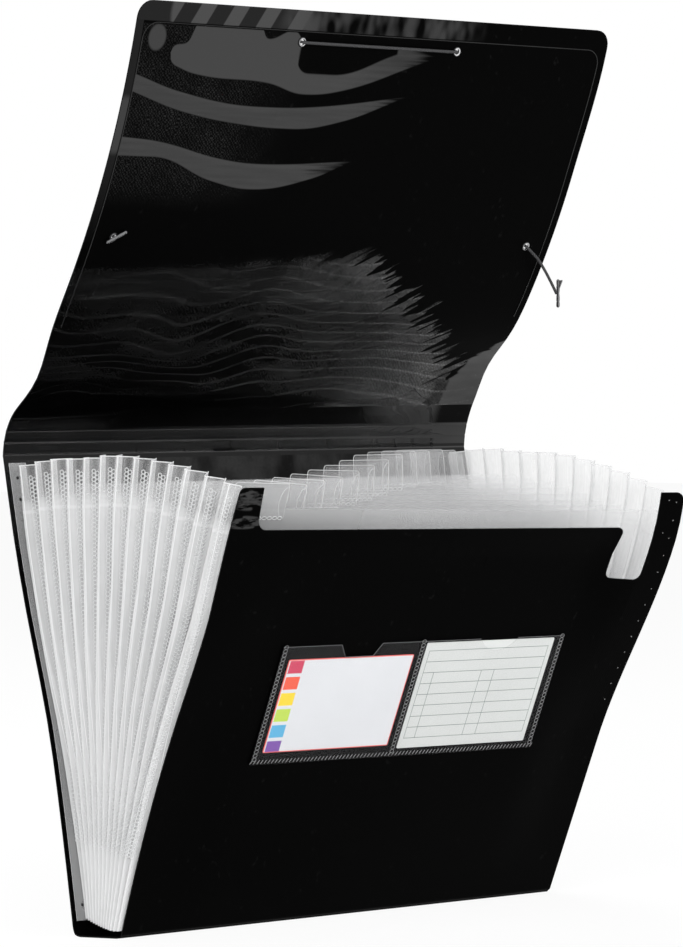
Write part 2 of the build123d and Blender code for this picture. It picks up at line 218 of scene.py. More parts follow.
class Paint:
    """A procedural finish: a material, or a world, and the nodes that make it."""

    def __init__(self, name, store=None, output="ShaderNodeOutputMaterial"):
        self.material = (bpy.data.materials if store is None else store).new(name)
        self.material.use_nodes = True
        self.tree = self.material.node_tree
        self.tree.nodes.clear()
        self.out = self.tree.nodes.new(output)

    def feed(self, socket, value):
        if isinstance(value, Term):
            self.tree.links.new(value.socket, socket)
        elif socket.type == "RGBA" and len(value) == 3:
            socket.default_value = (*value, 1.0)
        else:
            socket.default_value = value

    def node(self, kind, settings=None, *values, output=0, **named):
        made = self.tree.nodes.new(kind)
        for key, value in (settings or {}).items():
            if key == "points":
                line = made.mapping.curves[0].points
                for extra in range(len(value) - 2):
                    line.new(0.5, 0.5)
                for knot, spot in zip(line, value):
                    knot.location, knot.handle_type = spot, "AUTO_CLAMPED"
                made.mapping.update()
            elif key == "stops":
                made.color_ramp.interpolation = "CONSTANT"
                for extra in range(len(value) - 2):
                    made.color_ramp.elements.new(0.5)
                for stop, (position, colour) in zip(made.color_ramp.elements, value):
                    stop.position, stop.color = position, (*colour, 1.0)
            else:
                setattr(made, key, value)
        for index, value in enumerate(values):
            self.feed(made.inputs[index], value)
        for key, value in named.items():
            self.feed(made.inputs[key.replace("_", " ")], value)
        return Term(self, made.outputs[output])

    def blend(self, share, first, second):
        """A colour that goes from the first to the second as share goes from 0 to 1."""
        made = self.node("ShaderNodeMix", {"data_type": "RGBA", "clamp_factor": True}, output=2)
        for index, value in ((0, share), (6, first), (7, second)):
            self.feed(made.socket.node.inputs[index], value)
        return made

    def sheet(self):
        """Place along the sheet and run up it, in millimetres, from the piece's own map."""
        spot = self.node("ShaderNodeUVMap", {"uv_map": "sheet"})
        parts = self.node("ShaderNodeSeparateXYZ", None, spot)
        return parts, Term(self, parts.socket.node.outputs[1])

    def grain(self, scale, detail=2.0, stretch=(1.0, 1.0, 1.0), spot=None):
        """Noise about 0.5; scale is per metre on the object, or per millimetre on the sheet's own map."""
        spot = spot or self.node("ShaderNodeTexCoord", output=3)
        spot = self.node("ShaderNodeMapping", None, spot, Scale=stretch)
        return self.node("ShaderNodeTexNoise", None, Vector=spot, Scale=scale, Detail=detail)

    def profile(self, along, knots):
        """A smooth line through knots (x, run) on the sheet: its run at a place along the sheet."""
        low, high = COVER_WIDTH / 2, 1.0 / COVER_WIDTH
        points = [((x + low) * high, run * high) for x, run in knots]
        share = (along + low) * high
        made = self.node("ShaderNodeFloatCurve", {"points": points}, Value=share)
        return made * COVER_WIDTH

    def map_spot(self):
        return self.node("ShaderNodeUVMap", {"uv_map": "sheet"})

    def bump(self, height, strength, distance):
        return self.node("ShaderNodeBump", None, Height=height, Strength=strength, Distance=distance)

    def show(self, shader):
        self.tree.links.new(shader.socket, self.out.inputs["Surface"])
        return self.material


# Pitch of the hatch pressed into the sheet, of the coarser one laid over the painted reflections, and its
# stray
PRESS_PITCH, REFLECTION_PITCH, REFLECTION_STRAY = 0.95, 1.5, 5.0


def hatch(paint, pitch, stray=0.0):
    """Fine crossed diagonal lines pressed into the sheet, 0 in the grooves and 1 on the lands.

    Stray is how far, in millimetres, the lines wander.
    """
    x, run = paint.sheet()
    if stray:
        x = x + (paint.grain(0.35, 2.0, (1.0, 1.0, 1.0), paint.map_spot()) - 0.5) * stray
    turn = 2 * math.pi / pitch
    ways = [((x + run) * (turn / math.sqrt(2))).wave(), ((x - run) * (turn / math.sqrt(2))).wave()]
    return ways[0] * 0.28 + ways[1] * 0.22 + 0.5


def cover_finish(name, gloss=None, worn=0.0):
    """Black sheet with a pressed hatch, scuffed a little; gloss gives the coat's share: a painted reflection
    on the flap, strip, crease, back and ear, an uneven shine on the hem and outer side.
    """
    paint = Paint(name)
    press = hatch(paint, PRESS_PITCH)
    cloud = paint.grain(14.0, 3.0)
    scuff = paint.grain(260.0, 4.0).over(0.70, 0.05)
    colour = paint.blend(cloud, (0.0004, 0.0004, 0.0004), (0.0008, 0.0008, 0.0008))
    colour = paint.blend(press * 0.5, colour, (0.0016, 0.0016, 0.0016))
    colour = paint.blend(scuff * 0.30 + worn, colour, (0.010, 0.010, 0.010))
    rough = 0.46 + cloud * 0.10 - press * 0.10
    shader = paint.node(
        "ShaderNodeBsdfPrincipled", None, Base_Color=colour, Roughness=rough,
        Specular_IOR_Level=0.01, Normal=paint.bump(press, 0.35, 0.00008),
        Coat_Roughness=0.05, Coat_IOR=1.6,
    )
    if gloss:
        paint.feed(shader.socket.node.inputs["Coat Weight"], gloss(paint))
    return paint.show(shader)


def inside(x, run, middle_x, middle_run, reach_x, reach_run, soft=0.06):
    """1 inside an oval on the sheet, 0 outside it."""
    return (1.0 - ((x - middle_x) / reach_x) ** 2 - ((run - middle_run) / reach_run) ** 2).over(0.0, soft)


# The flap's hem, and the outlines of its painted reflection: the pool, the dark eye in it and the two bands,
# as (x, run)
HEM_X, HEM_RUN = -160.3, 219.3
POOL_FOOT = (
    (-140.0, 205.0), (-139.0, 201.0), (-131.0, 197.0), (-116.0, 194.0), (-72.0, 192.0), (-46.0, 187.0),
    (-20.0, 190.0), (31.0, 207.0),
)
POOL_TOP = (
    (-140.0, 205.0), (-139.0, 208.0), (-130.0, 211.0), (-124.0, 222.0), (-85.0, 222.0), (-77.0, 215.0),
    (-61.0, 220.0), (-51.0, 214.0), (31.0, 214.0),
)
EYE_LEFT, EYE_RIGHT = -54.6, 12.8
EYE_FOOT = ((-55.0, 207.0), (-54.0, 202.0), (-46.0, 198.0), (-30.0, 198.0), (13.0, 211.0))
UPPER_BAND_TOP = ((-160.0, 193.0), (-129.0, 185.0), (-73.0, 179.0), (-40.0, 180.0), (25.0, 188.0))
UPPER_BAND_FOOT = (
    (-160.0, 184.0), (-126.0, 175.0), (-80.0, 169.0), (-50.0, 168.0), (-16.0, 173.0), (25.0, 188.0),
)
LOWER_BAND_TOP = ((-160.0, 160.0), (-134.0, 158.0), (-91.0, 150.0), (-63.0, 148.0), (-4.0, 151.0))
LOWER_BAND_FOOT = (
    (-160.0, 150.0), (-137.0, 150.0), (-94.0, 138.0), (-66.0, 134.0), (-26.0, 141.0), (-4.0, 150.0),
)
BAND_EDGES = ((UPPER_BAND_TOP, UPPER_BAND_FOOT, 13.0), (LOWER_BAND_TOP, LOWER_BAND_FOOT, -18.0))


def flap_reflection_bands(paint, x, run):
    """Painted reflection streaks at the upper left of the flap: a pool round a dark eye, and two bands below
    it.
    """
    streak = paint.grain(0.5, 2.0, (0.06, 1.0, 1.0), paint.map_spot()) - 0.5
    pool_foot, pool_top = paint.profile(x, POOL_FOOT), paint.profile(x, POOL_TOP)
    pool = (run - pool_foot).over(0.0, 0.5) * (pool_top - run).over(0.0, 0.5)
    pool = pool * (29.0 - x + streak * 26.0).over(0.0, 8.0)
    eye = (run - paint.profile(x, EYE_FOOT)).over(0.0, 0.6)
    eye = eye * (x - EYE_LEFT).over(0.0, 0.8) * (EYE_RIGHT - x).over(0.0, 0.8)
    shade = 1.0 - (x - 2.0).over(0.0, 26.0) * 0.35 + streak * (x + 30.0).over(0.0, 40.0) * 0.5
    bands = pool * (1.0 - eye) * shade
    corner_patch = inside(x, run, -150.4, 212.4, 5.6, 6.8, 0.3) * 0.9
    bands = bands.most(corner_patch) * (HEM_RUN - run).over(0.0, 0.3)
    for top, foot, end in BAND_EDGES:
        above, below = run - paint.profile(x, foot), paint.profile(x, top) - run
        fade = (end - x + streak * 50.0).over(0.0, 16.0)
        glow = 0.86 + streak * 0.4 + (1.8 - below).over(0.0, 1.6) * 0.1
        bands = bands.most(above.over(0.0, 0.45) * below.over(0.0, 0.45) * fade * glow)
    return bands * (x - HEM_X).over(0.0, 0.4)


def flap_margin_reflection(paint, x, run):
    """Painted reflection on the hem's margin: slanted bars along the end and a bright place down the left
    side.
    """
    bars = ((x - (run - 220.0) * 0.55) * (2 * math.pi / 21.5) + 0.6).wave().over(0.08, 0.12)
    bars = bars * inside(x, run, -96.0, 226.0, 48.0, 30.0)
    bits = paint.grain(0.13, 1.0, (1.0, 0.5, 1.0), paint.map_spot()).over(0.50, 0.20)
    bits = bits * inside(x, run, 0.0, 226.0, 66.0, 30.0, 0.3)
    end = bars.most(bits * 0.85) * 0.9 + inside(x, run, -120.0, 226.0, 70.0, 40.0, 0.3) * 0.3
    end = (run - 220.7).over(0.0, 0.3) * end
    side = inside(x, run, -163.0, 166.0, 9.0, 15.0, 0.3) * 0.6 + (run - 130.0).over(0.0, 40.0) * 0.25
    return end.most((-160.7 - x).over(0.0, 0.3) * side)


def flap_foot_reflection(paint, x, run):
    """Painted reflection over the flap's foot: wavy lines, ragged at their right end."""
    slow = paint.grain(0.011, 0.5, (1.0, 1.2, 1.0), paint.map_spot()) - 0.5
    along, across = (x + run * 1.3) * 0.02, (x * 0.55 - run) * 0.24
    ragged = paint.node("ShaderNodeTexNoise", None, Scale=1.0, Detail=2.0,
                        Vector=paint.node("ShaderNodeCombineXYZ", None, along, across, 0.0)) - 0.5
    reach = 166.0 + ragged * 120.0 - x - run * 1.35
    top = 85.0 + (x + 150.0).most(0.0) * 0.06 + ragged * (x + 10.0).over(0.0, 25.0) * 22.0
    field = reach.over(0.0, 3.0) * (top - run).over(0.0, 4.5)
    knot = inside(x, run, -108.0, 17.0, 46.0, 15.0, 0.9)
    bent = run + slow * (46.0 - x * 0.12) - knot * 9.0
    lines = (1.0 - abs((bent / 7.6).within(1.0) - 0.5) * 9.0).most(0.0)
    fill = paint.grain(0.03, 3.0, (0.5, 2.2, 1.0), paint.map_spot()).over(0.52, 0.09)
    near_end = (x + run * 0.5 - 35.0).over(0.0, 45.0)
    veil = (run - 66.0).over(0.0, 10.0) * 0.26 + near_end * 0.22 + fill * 0.2 + 0.06
    dark = inside(x, run, -60.0, 1.0, 115.0, 7.5, 0.25)
    corner = (x - 62.0).over(0.0, 34.0) * (127.0 + ragged * 50.0 - x).over(0.0, 3.0)
    corner = corner * (24.0 - run).over(0.0, 14.0)
    speck = paint.grain(0.6, 2.0, (1.0, 1.0, 1.0), paint.map_spot()).over(0.40, 0.22)
    shine = field * (veil + lines * 0.58 + corner * 0.4) * (1.0 - dark * 0.8)
    return shine * (hatch(paint, REFLECTION_PITCH, REFLECTION_STRAY) * speck * 1.5 + 0.45)


def flap_painted_reflection(paint):
    """All the painted reflection on the flap's coat."""
    x, run = paint.sheet()
    spikes = paint.grain(0.16, 2.0, (0.25, 1.0, 1.0), paint.map_spot()) - 0.5
    side = (x + spikes * 16.0 - 139.0 - ((run - 5.0).most(0.0) / 40.0) ** 2 * 27.0).over(0.0, 1.4)
    side = side * (run + 5.0 + spikes * 8.0).over(0.0, 2.0) * ((spikes + 0.5) * 0.5 + 0.5)
    rub = paint.grain(0.06, 2.0, (1.0, 1.0, 1.0), paint.map_spot())
    speck = paint.grain(0.8, 2.0, (1.0, 1.0, 1.0), paint.map_spot()).over(0.40, 0.25)
    sheen = (-76.0 - x).over(0.0, 34.0) * (run - 131.0).over(0.0, 12.0)
    sheen = sheen * (hatch(paint, REFLECTION_PITCH, REFLECTION_STRAY) ** 2.0) * rub * speck * 0.8
    inner = (HEM_RUN - run).over(0.0, 0.4) * (x - HEM_X).over(0.0, 0.4)
    shine = flap_reflection_bands(paint, x, run).most(sheen * inner).most(flap_margin_reflection(paint, x, run))
    return shine.most(flap_foot_reflection(paint, x, run)).most(side)


def ear_painted_reflection(paint):
    """Painted reflection: coat blotches beside the mouth of the front panel."""
    x, run = paint.sheet()
    blotch = paint.grain(0.16, 3.0, (0.7, 2.2, 1.0), paint.map_spot()).over(0.50, 0.06)
    zone = inside(x, run, -145.0, 243.5, 13.0, 5.5, 0.3).most(inside(x, run, -146.0, 231.5, 13.0, 3.5, 0.3))
    return blotch * zone * 0.75


def strip_painted_reflection(paint):
    """Painted reflection: the strip's coat shines along its lower half, more so at its ends."""
    x, run = paint.sheet()
    cloud = paint.grain(0.05, 3.0, (0.3, 1.0, 1.0), paint.map_spot())
    low = (-13.5 - run).over(0.0, 0.6) * 0.74 + 0.06
    left_end = (-104.0 - x + (cloud - 0.5) * 40.0).over(0.0, 30.0) * 1.25
    right_end = (x + run * 0.8 - 84.0).over(0.0, 16.0) * (138.0 - x).over(0.0, 6.0)
    ends = left_end.most(right_end) * 0.75
    return low.most(ends) * (cloud * 0.9 + 0.4) * (hatch(paint, REFLECTION_PITCH) * 0.5 + 0.75)


def crease_painted_highlight(paint):
    """Painted highlight: a bright line where the back panel turns into the strip."""
    run = paint.sheet()[1]
    return (0.45 - abs(run - 0.4)).over(0.0, 0.3) * 0.8 + 0.32


def back_painted_sheen(paint):
    """Painted sheen: the back panel's mouth shines in patches."""
    run = paint.sheet()[1]
    patch = paint.grain(0.045, 3.0, (1.0, 0.6, 1.0), paint.map_spot()).over(0.47, 0.16)
    speck = paint.grain(0.7, 2.0, (1.0, 1.0, 1.0), paint.map_spot()) * 0.8 + 0.6
    return (run - 200.0).over(0.0, 16.0) * (patch * 0.36 + 0.12) * speck


def outer_gloss(paint):
    """The outer side shines a little and unevenly, from handling."""
    return paint.grain(9.0, 3.0).over(0.35, 0.4) * 0.16 + 0.06


def hem_gloss(paint):
    """The pressed line along the hem shines unevenly."""
    return paint.grain(60.0, 2.0) * 0.4 + 0.35


def film_finish(name, colour, rough, cover, shading_paint=None):
    """Milky film that lets light through; cover gives how much of the view it hides."""
    paint = Paint(name)
    cloud = paint.grain(22.0, 3.0)
    # Painted light and shade: the last argument, where given, changes the film's colour by place.
    if shading_paint:
        colour = shading_paint(paint, colour)
    lit = paint.node(
        "ShaderNodeBsdfPrincipled", None, Base_Color=colour, Roughness=rough + cloud * 0.15,
        Specular_IOR_Level=0.35, Normal=paint.bump(cloud, 0.06, 0.0006),
    )
    through = paint.node("ShaderNodeBsdfTranslucent", None, Color=colour)
    body = paint.node("ShaderNodeMixShader", None, 0.35, lit, through)
    clear = paint.node("ShaderNodeBsdfTransparent")
    return paint.show(paint.node("ShaderNodeMixShader", None, cover(paint, cloud), clear, body))


def pleat_painted_light(paint, colour):
    """Painted light: the pleats' colour whitens towards the foot, where their folds lie close and sit in
    shade.
    """
    run = paint.sheet()[1]
    return paint.blend((run - 95.0).over(0.0, 95.0), (0.96, 0.962, 0.965), colour)


def leaf_painted_shading(paint, colour):
    """Painted shade and light: the leaves' colour is greyer towards the left and whiter towards the right
    gusset.
    """
    x = paint.sheet()[0]
    grey = paint.blend((x + 60.0).over(0.0, 80.0), (0.50, 0.502, 0.506), colour)
    return paint.blend((x - 112.0).over(0.0, 34.0), grey, (0.93, 0.932, 0.936))


def pleat_cover(paint, cloud):
    """Pleats: milky below the leaves' tops, clearer above, bright along the ridge and the top edge."""
    across, run = paint.sheet()
    travel = abs(across) - VALLEY_X
    ridge = (0.32 - abs(travel - PLEAT_DEPTH)).over(0.0, 0.15)
    top = (run - GUSSET_HEIGHT + 0.5).over(0.0, 0.15)
    # Painted shade: above the leaves' tops each pleat clears, more so towards its front valley.
    fade = ((travel - PLEAT_DEPTH) / PLEAT_DEPTH).over(0.0, 0.8)
    milk = 0.52 - (run - 226.0).over(0.0, 4.0) * (fade * 0.25 + 0.12)
    weld = (2.0 - abs(travel - 2 * PLEAT_DEPTH + 4.8)).over(0.0, 0.3) * (238.0 - run).over(0.0, 1.0)
    milk = milk * (1.0 - weld * 0.30)
    # Painted highlights: streaks and glints along the pleats.
    streak = paint.grain(0.5, 2.0, (1.0, 0.02, 1.0), paint.map_spot()) - 0.5
    painted_glint = paint.grain(0.16, 2.0, (1.0, 0.06, 1.0), paint.map_spot()).over(0.60, 0.08) * 0.22
    seen = (0.9 - abs(run - 221.0)).over(0.0, 0.6) * 0.13
    return (milk + (cloud - 0.5) * 0.3 + streak * 0.4 + painted_glint + seen).most(ridge.most(top) * 0.8)


def leaf_cover(paint, cloud):
    """Leaves: milky, a little clearer in the tab."""
    across, run = paint.sheet()
    clear = (run - LEAF_HEIGHT).over(0.0, 1.0) * 0.125 + (across - 120.0).over(0.0, 24.0) * 0.10
    return (0.19 - clear).most(0.02) + (cloud - 0.5) * 0.04


def front_leaf_cover(paint, cloud):
    """The front leaf hides the gusset behind its left end."""
    across = paint.sheet()[0]
    return leaf_cover(paint, cloud) + (-72.0 - across).over(0.0, 50.0) * 0.5


def rear_leaf_cover(paint, cloud):
    """The rear leaf's tab is milkier than the others."""
    run = paint.sheet()[1]
    return leaf_cover(paint, cloud) + (run - LEAF_HEIGHT).over(0.0, 1.0) * 0.22


def flange_cover(paint, cloud):
    """The flange on the back panel is thin and cloudy."""
    return cloud * 0.16 + 0.20


def sleeve_cover(paint, cloud):
    """The tabs' sleeves are nearly clear."""
    return cloud * 0.06 + 0.03


def edge_finish(name, colour, solid):
    """Cut or folded edge of a film, which gathers the light."""
    paint = Paint(name)
    fleck = paint.grain(400.0, 2.0)
    tone = paint.blend(fleck, colour, tuple(min(1.0, 1.12 * c) for c in colour))
    lit = paint.node("ShaderNodeBsdfPrincipled", None, Base_Color=tone, Roughness=0.3)
    through = paint.node("ShaderNodeBsdfTranslucent", None, Color=colour)
    body = paint.node("ShaderNodeMixShader", None, 0.4, lit, through)
    clear = paint.node("ShaderNodeBsdfTransparent")
    return paint.show(paint.node("ShaderNodeMixShader", None, solid, clear, body))


def clear_finish(name, colour, solid, rough):
    """Clear glossy film with faint handling marks."""
    paint = Paint(name)
    smear = paint.grain(35.0, 4.0)
    lit = paint.node(
        "ShaderNodeBsdfPrincipled", None, Base_Color=colour, Roughness=rough + smear * 0.1,
        Normal=paint.bump(smear, 0.15, 0.0006), Alpha=solid * 0.6 + smear * (solid * 0.8),
    )
    return paint.show(lit)


def metal_finish(name, colour, rough):
    """Plated metal with a fine fleck."""
    paint = Paint(name)
    fleck = paint.grain(900.0, 3.0)
    tone = paint.blend(fleck, tuple(0.8 * c for c in colour), colour)
    shader = paint.node(
        "ShaderNodeBsdfPrincipled", None, Base_Color=tone, Metallic=1.0, Roughness=rough + fleck * 0.12,
        Normal=paint.bump(fleck, 0.1, 0.00005),
    )
    return paint.show(shader)


def index_card_finish():
    """White card with a thin coral border and six colour blocks down its left side."""
    paint = Paint("index_card_print")
    x, run = paint.sheet()
    left, foot, width, height = INDEX_CARD
    across, up = x - left, run - foot
    block_pitch, block_height, block_foot, block_left, block_right, border = 9.15, 7.2, -0.6, 1.1, 10.6, 0.5
    blocks = [
        (0.19, 0.075, 0.37), (0.10, 0.42, 0.68), (0.50, 0.67, 0.09),
        (0.87, 0.64, 0.035), (0.83, 0.105, 0.055), (0.58, 0.045, 0.105),
    ]
    rows = [(index / len(blocks), tone) for index, tone in enumerate(blocks)]
    shift = up - block_foot + (block_pitch - block_height)
    tone = paint.node("ShaderNodeValToRGB", {"stops": rows}, shift / (block_pitch * len(blocks)))
    block = (shift.within(block_pitch) - (block_pitch - block_height)).over(0.0, 0.12)
    block = block * (block_right - across).over(0.0, 0.12) * (across - block_left).over(0.0, 0.12)
    fibre = paint.grain(900.0, 3.0)
    card = paint.blend(fibre, (0.67, 0.68, 0.705), (0.715, 0.725, 0.75))
    card = paint.blend(block, card, tone)
    rim = across.least(width - across).least(up).least(height - up)
    card = paint.blend((border - rim).over(0.0, 0.1), card, (0.82, 0.135, 0.125))
    shader = paint.node(
        "ShaderNodeBsdfPrincipled", None, Base_Color=card, Roughness=0.55 + fibre * 0.1,
        Normal=paint.bump(fibre, 0.15, 0.00005),
    )
    return paint.show(shader)


def lined_card_finish():
    """Pale card ruled with a frame of nine lines and three columns."""
    paint = Paint("lined_card_print")
    x, run = paint.sheet()
    left, foot, width, height = LINED_CARD
    across, up = x - left, run - foot
    first, pitch, rows, stroke, inset = 5.8, 6.37, 9, 0.17, 3.0
    last = first + pitch * (rows - 1)
    framed = (across - inset + stroke).over(0.0, 0.05) * (width - inset + stroke - across).over(0.0, 0.05)
    framed = framed * (up - first + stroke).over(0.0, 0.05) * (last + stroke - up).over(0.0, 0.05)
    line = (stroke - abs((up - first + pitch / 2).within(pitch) - pitch / 2)).over(0.0, 0.06)
    columns, column_top = (10.5, 44.4, 53.6), last - 2 * pitch
    for column, top in ((inset, last), (width - inset, last), *((column, column_top) for column in columns)):
        line = line.most((stroke - abs(across - column)).over(0.0, 0.06) * (top - up).over(0.0, 0.05))
    fibre = paint.grain(900.0, 3.0)
    card = paint.blend(fibre, (0.60, 0.615, 0.605), (0.645, 0.66, 0.65))
    card = paint.blend(line * framed, card, (0.17, 0.22, 0.20))
    shader = paint.node(
        "ShaderNodeBsdfPrincipled", None, Base_Color=card, Roughness=0.6 + fibre * 0.1,
        Normal=paint.bump(fibre, 0.15, 0.00005),
    )
    return paint.show(shader)


def braid_finish():
    """Dark elastic with a braided skin."""
    paint = Paint("elastic_braid")
    turn, run = paint.sheet()
    ways = [(turn * 8.0 + run * 2.6).wave(), (turn * 8.0 - run * 2.6).wave()]
    weave = ways[0].most(ways[1])
    colour = paint.blend(weave * 0.5 + 0.5, (0.010, 0.010, 0.0105), (0.055, 0.055, 0.057))
    shader = paint.node(
        "ShaderNodeBsdfPrincipled", None, Base_Color=colour, Roughness=0.62 - weave * 0.08,
        Normal=paint.bump(weave, 0.6, 0.00012), Specular_IOR_Level=0.25,
    )
    return paint.show(shader)


MILK = (0.84, 0.843, 0.847)
LEAF_MILK = (0.76, 0.763, 0.767)
cover_black = cover_finish("cover_black")
# The front, flap, strip, crease and back finishes carry painted reflection in their coat.
cover_front = cover_finish("cover_front", ear_painted_reflection)
cover_flap = cover_finish("cover_flap", flap_painted_reflection)
cover_strip = cover_finish("cover_strip", strip_painted_reflection)
cover_crease = cover_finish("cover_crease", crease_painted_highlight)
cover_back = cover_finish("cover_back", back_painted_sheen)
cover_hem = cover_finish("cover_hem", hem_gloss)
cover_outer = cover_finish("cover_outer", outer_gloss)
cover_edge = cover_finish("cover_edge", worn=0.7)
pleat_film = film_finish("pleat_film", MILK, 0.3, pleat_cover, pleat_painted_light)
leaf_film = film_finish("leaf_film", LEAF_MILK, 0.3, leaf_cover, leaf_painted_shading)
leaf_front = film_finish("leaf_front", LEAF_MILK, 0.3, front_leaf_cover, leaf_painted_shading)
leaf_rear = film_finish("leaf_rear", LEAF_MILK, 0.3, rear_leaf_cover)
flange_film = film_finish("flange_film", MILK, 0.3, flange_cover)
tab_film = film_finish("tab_film", (0.86, 0.86, 0.87), 0.2, sleeve_cover)
film_edge = edge_finish("film_edge", (0.93, 0.935, 0.94), 0.8)
tab_edge = edge_finish("tab_edge", (0.93, 0.935, 0.94), 0.55)
leaf_edge = edge_finish("leaf_edge", (0.88, 0.885, 0.89), 0.4)
weld_white = edge_finish("weld_white", (0.95, 0.955, 0.96), 0.85)
weld_pleat = edge_finish("weld_pleat", (0.86, 0.865, 0.87), 0.7)
weld_faint = edge_finish("weld_faint", (0.80, 0.805, 0.81), 0.2)
weld_dark = edge_finish("weld_dark", (0.02, 0.02, 0.02), 0.9)
# Painted glint: a grey for the ears' weld pits.
weld_grey = edge_finish("weld_grey", (0.30, 0.30, 0.30), 0.9)
pocket_clear = clear_finish("pocket_clear", (0.26, 0.26, 0.265), 0.032, 0.12)
pocket_edge = edge_finish("pocket_edge", (0.16, 0.16, 0.165), 0.9)
pocket_weld = edge_finish("pocket_weld", (0.36, 0.36, 0.365), 1.0)
pocket_rim = edge_finish("pocket_rim", (0.16, 0.16, 0.165), 0.2)
index_print, lined_print = index_card_finish(), lined_card_finish()
eyelet_metal = metal_finish("eyelet_nickel", (0.80, 0.80, 0.81), 0.14)
# Painted shade: the flange takes a dark copy of the eyelet's nickel, so that only its rolled rim shines.
eyelet_shaded_flange = metal_finish("eyelet_flange", (0.05, 0.05, 0.052), 0.3)
bar_metal = metal_finish("bar_nickel", (0.26, 0.26, 0.265), 0.22)
elastic = braid_finish()


# Meshes
def settle(mesh, body, slot, nodes=()):
    """Puts a finished mesh in the scene: on its body when one is named, otherwise baked in place; hides the
    CAD nodes it stands in for.
    """
    made = bpy.data.objects.new(mesh.name, mesh)
    bpy.context.scene.collection.objects.link(made)
    if isinstance(body, str):
        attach(made, body)
    else:
        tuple(body[2])
        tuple(body[3])
        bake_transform(made)
    if nodes:
        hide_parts(*nodes)
    return made


def rounded(corners, steps=6):
    """Outline of straight runs between corners (x, run, radius), each rounded to its radius."""
    outline = []
    count = len(corners)
    for index, (x, run, radius) in enumerate(corners):
        here = Vector((x, run))
        if radius <= 0.0:
            outline.append((x, run))
            continue
        before = (Vector(corners[index - 1][:2]) - here).normalized()
        after = (Vector(corners[(index + 1) % count][:2]) - here).normalized()
        half = before.angle(after) / 2
        reach = radius / math.tan(half)
        centre = here + (before + after).normalized() * (radius / math.sin(half))
        first, last = here + before * reach - centre, here + after * reach - centre
        sweep = first.angle_signed(last)
        for step in range(steps + 1):
            spot = first.copy()
            spot.rotate(Matrix.Rotation(-sweep * step / steps, 2))
            outline.append(tuple(centre + spot))
    return outline


def steps_between(low, high, step):
    count = max(1, round((high - low) / step))
    return [low + (high - low) * index / count for index in range(1, count)]


def plate(name, outline, place, half, finishes, step=14.0, holes=(), lift=0.0, extra_runs=(), dent=None):
    """Sheet of even thickness, cut to an outline on a surface, with its rim in the second finish."""
    flat = bmesh.new()
    edges = []
    for loop in (outline, *holes):
        ring = [flat.verts.new((x, run, 0.0)) for x, run in loop]
        edges += [flat.edges.new((a, b)) for a, b in zip(ring, ring[1:] + ring[:1])]
    bmesh.ops.triangle_fill(flat, edges=edges, use_beauty=True, use_dissolve=False)
    xs, runs = [x for x, run in outline], [run for x, run in outline]
    cuts = [((x, 0, 0), (1, 0, 0)) for x in steps_between(min(xs), max(xs), step)]
    cuts += [((0, run, 0), (0, 1, 0)) for run in (*steps_between(min(runs), max(runs), step), *extra_runs)]
    for spot, way in cuts:
        bmesh.ops.bisect_plane(
            flat, geom=flat.verts[:] + flat.edges[:] + flat.faces[:], dist=1e-4, plane_co=spot, plane_no=way
        )
    bmesh.ops.dissolve_limit(
        flat, angle_limit=0.001, verts=[], edges=[e for e in flat.edges if diagonal(e)], delimit=set()
    )
    bmesh.ops.recalc_face_normals(flat, faces=flat.faces[:])
    if flat.faces and sum(face.normal.z for face in flat.faces) < 0:
        bmesh.ops.reverse_faces(flat, faces=flat.faces[:])
    flat.verts.index_update()
    spots = [(vert.co.x, vert.co.y) for vert in flat.verts]
    count = len(spots)
    pressed = [dent(x, run) if dent else 0.0 for x, run in spots]
    points = [place(x, run, lift + half - press) * MM for (x, run), press in zip(spots, pressed)]
    points += [place(x, run, lift - half - press) * MM for (x, run), press in zip(spots, pressed)]
    faces = [[vert.index for vert in face.verts] for face in flat.faces]
    faces += [[index + count for index in reversed(face)] for face in faces]
    sides = len(faces)
    for edge in flat.edges:
        if len(edge.link_faces) == 1:
            loop = edge.link_loops[0]
            a, b = loop.vert.index, loop.link_loop_next.vert.index
            faces.append([b, a, a + count, b + count])
    flat.free()
    return solid(name, points, faces, [spots[index % count] for index in range(2 * count)], sides, finishes)


def diagonal(edge):
    """Whether a flat edge runs across the grid, and so may go."""
    way = edge.verts[0].co - edge.verts[1].co
    return len(edge.link_faces) == 2 and abs(way.x) > 1e-4 and abs(way.y) > 1e-4


def solid(name, points, faces, spots, sides, finishes):
    """Mesh with a map of places and runs.

    Faces from sides on are rim, in the second finish; a third finish is for the back.
    """
    mesh = bpy.data.meshes.new(name)
    mesh.from_pydata([tuple(point) for point in points], [], faces)
    for finish in finishes:
        mesh.materials.append(finish)
    chart = mesh.uv_layers.new(name="sheet")
    for loop in mesh.loops:
        chart.data[loop.index].uv = spots[loop.vertex_index]
    for polygon in mesh.polygons:
        polygon.use_smooth = True
        if polygon.index >= sides and len(finishes) > 1:
            polygon.material_index = 1
        elif polygon.index >= sides // 2 and len(finishes) > 2:
            polygon.material_index = 2
    mesh.set_sharp_from_angle(angle=math.radians(40.0))
    mesh.update()
    return mesh


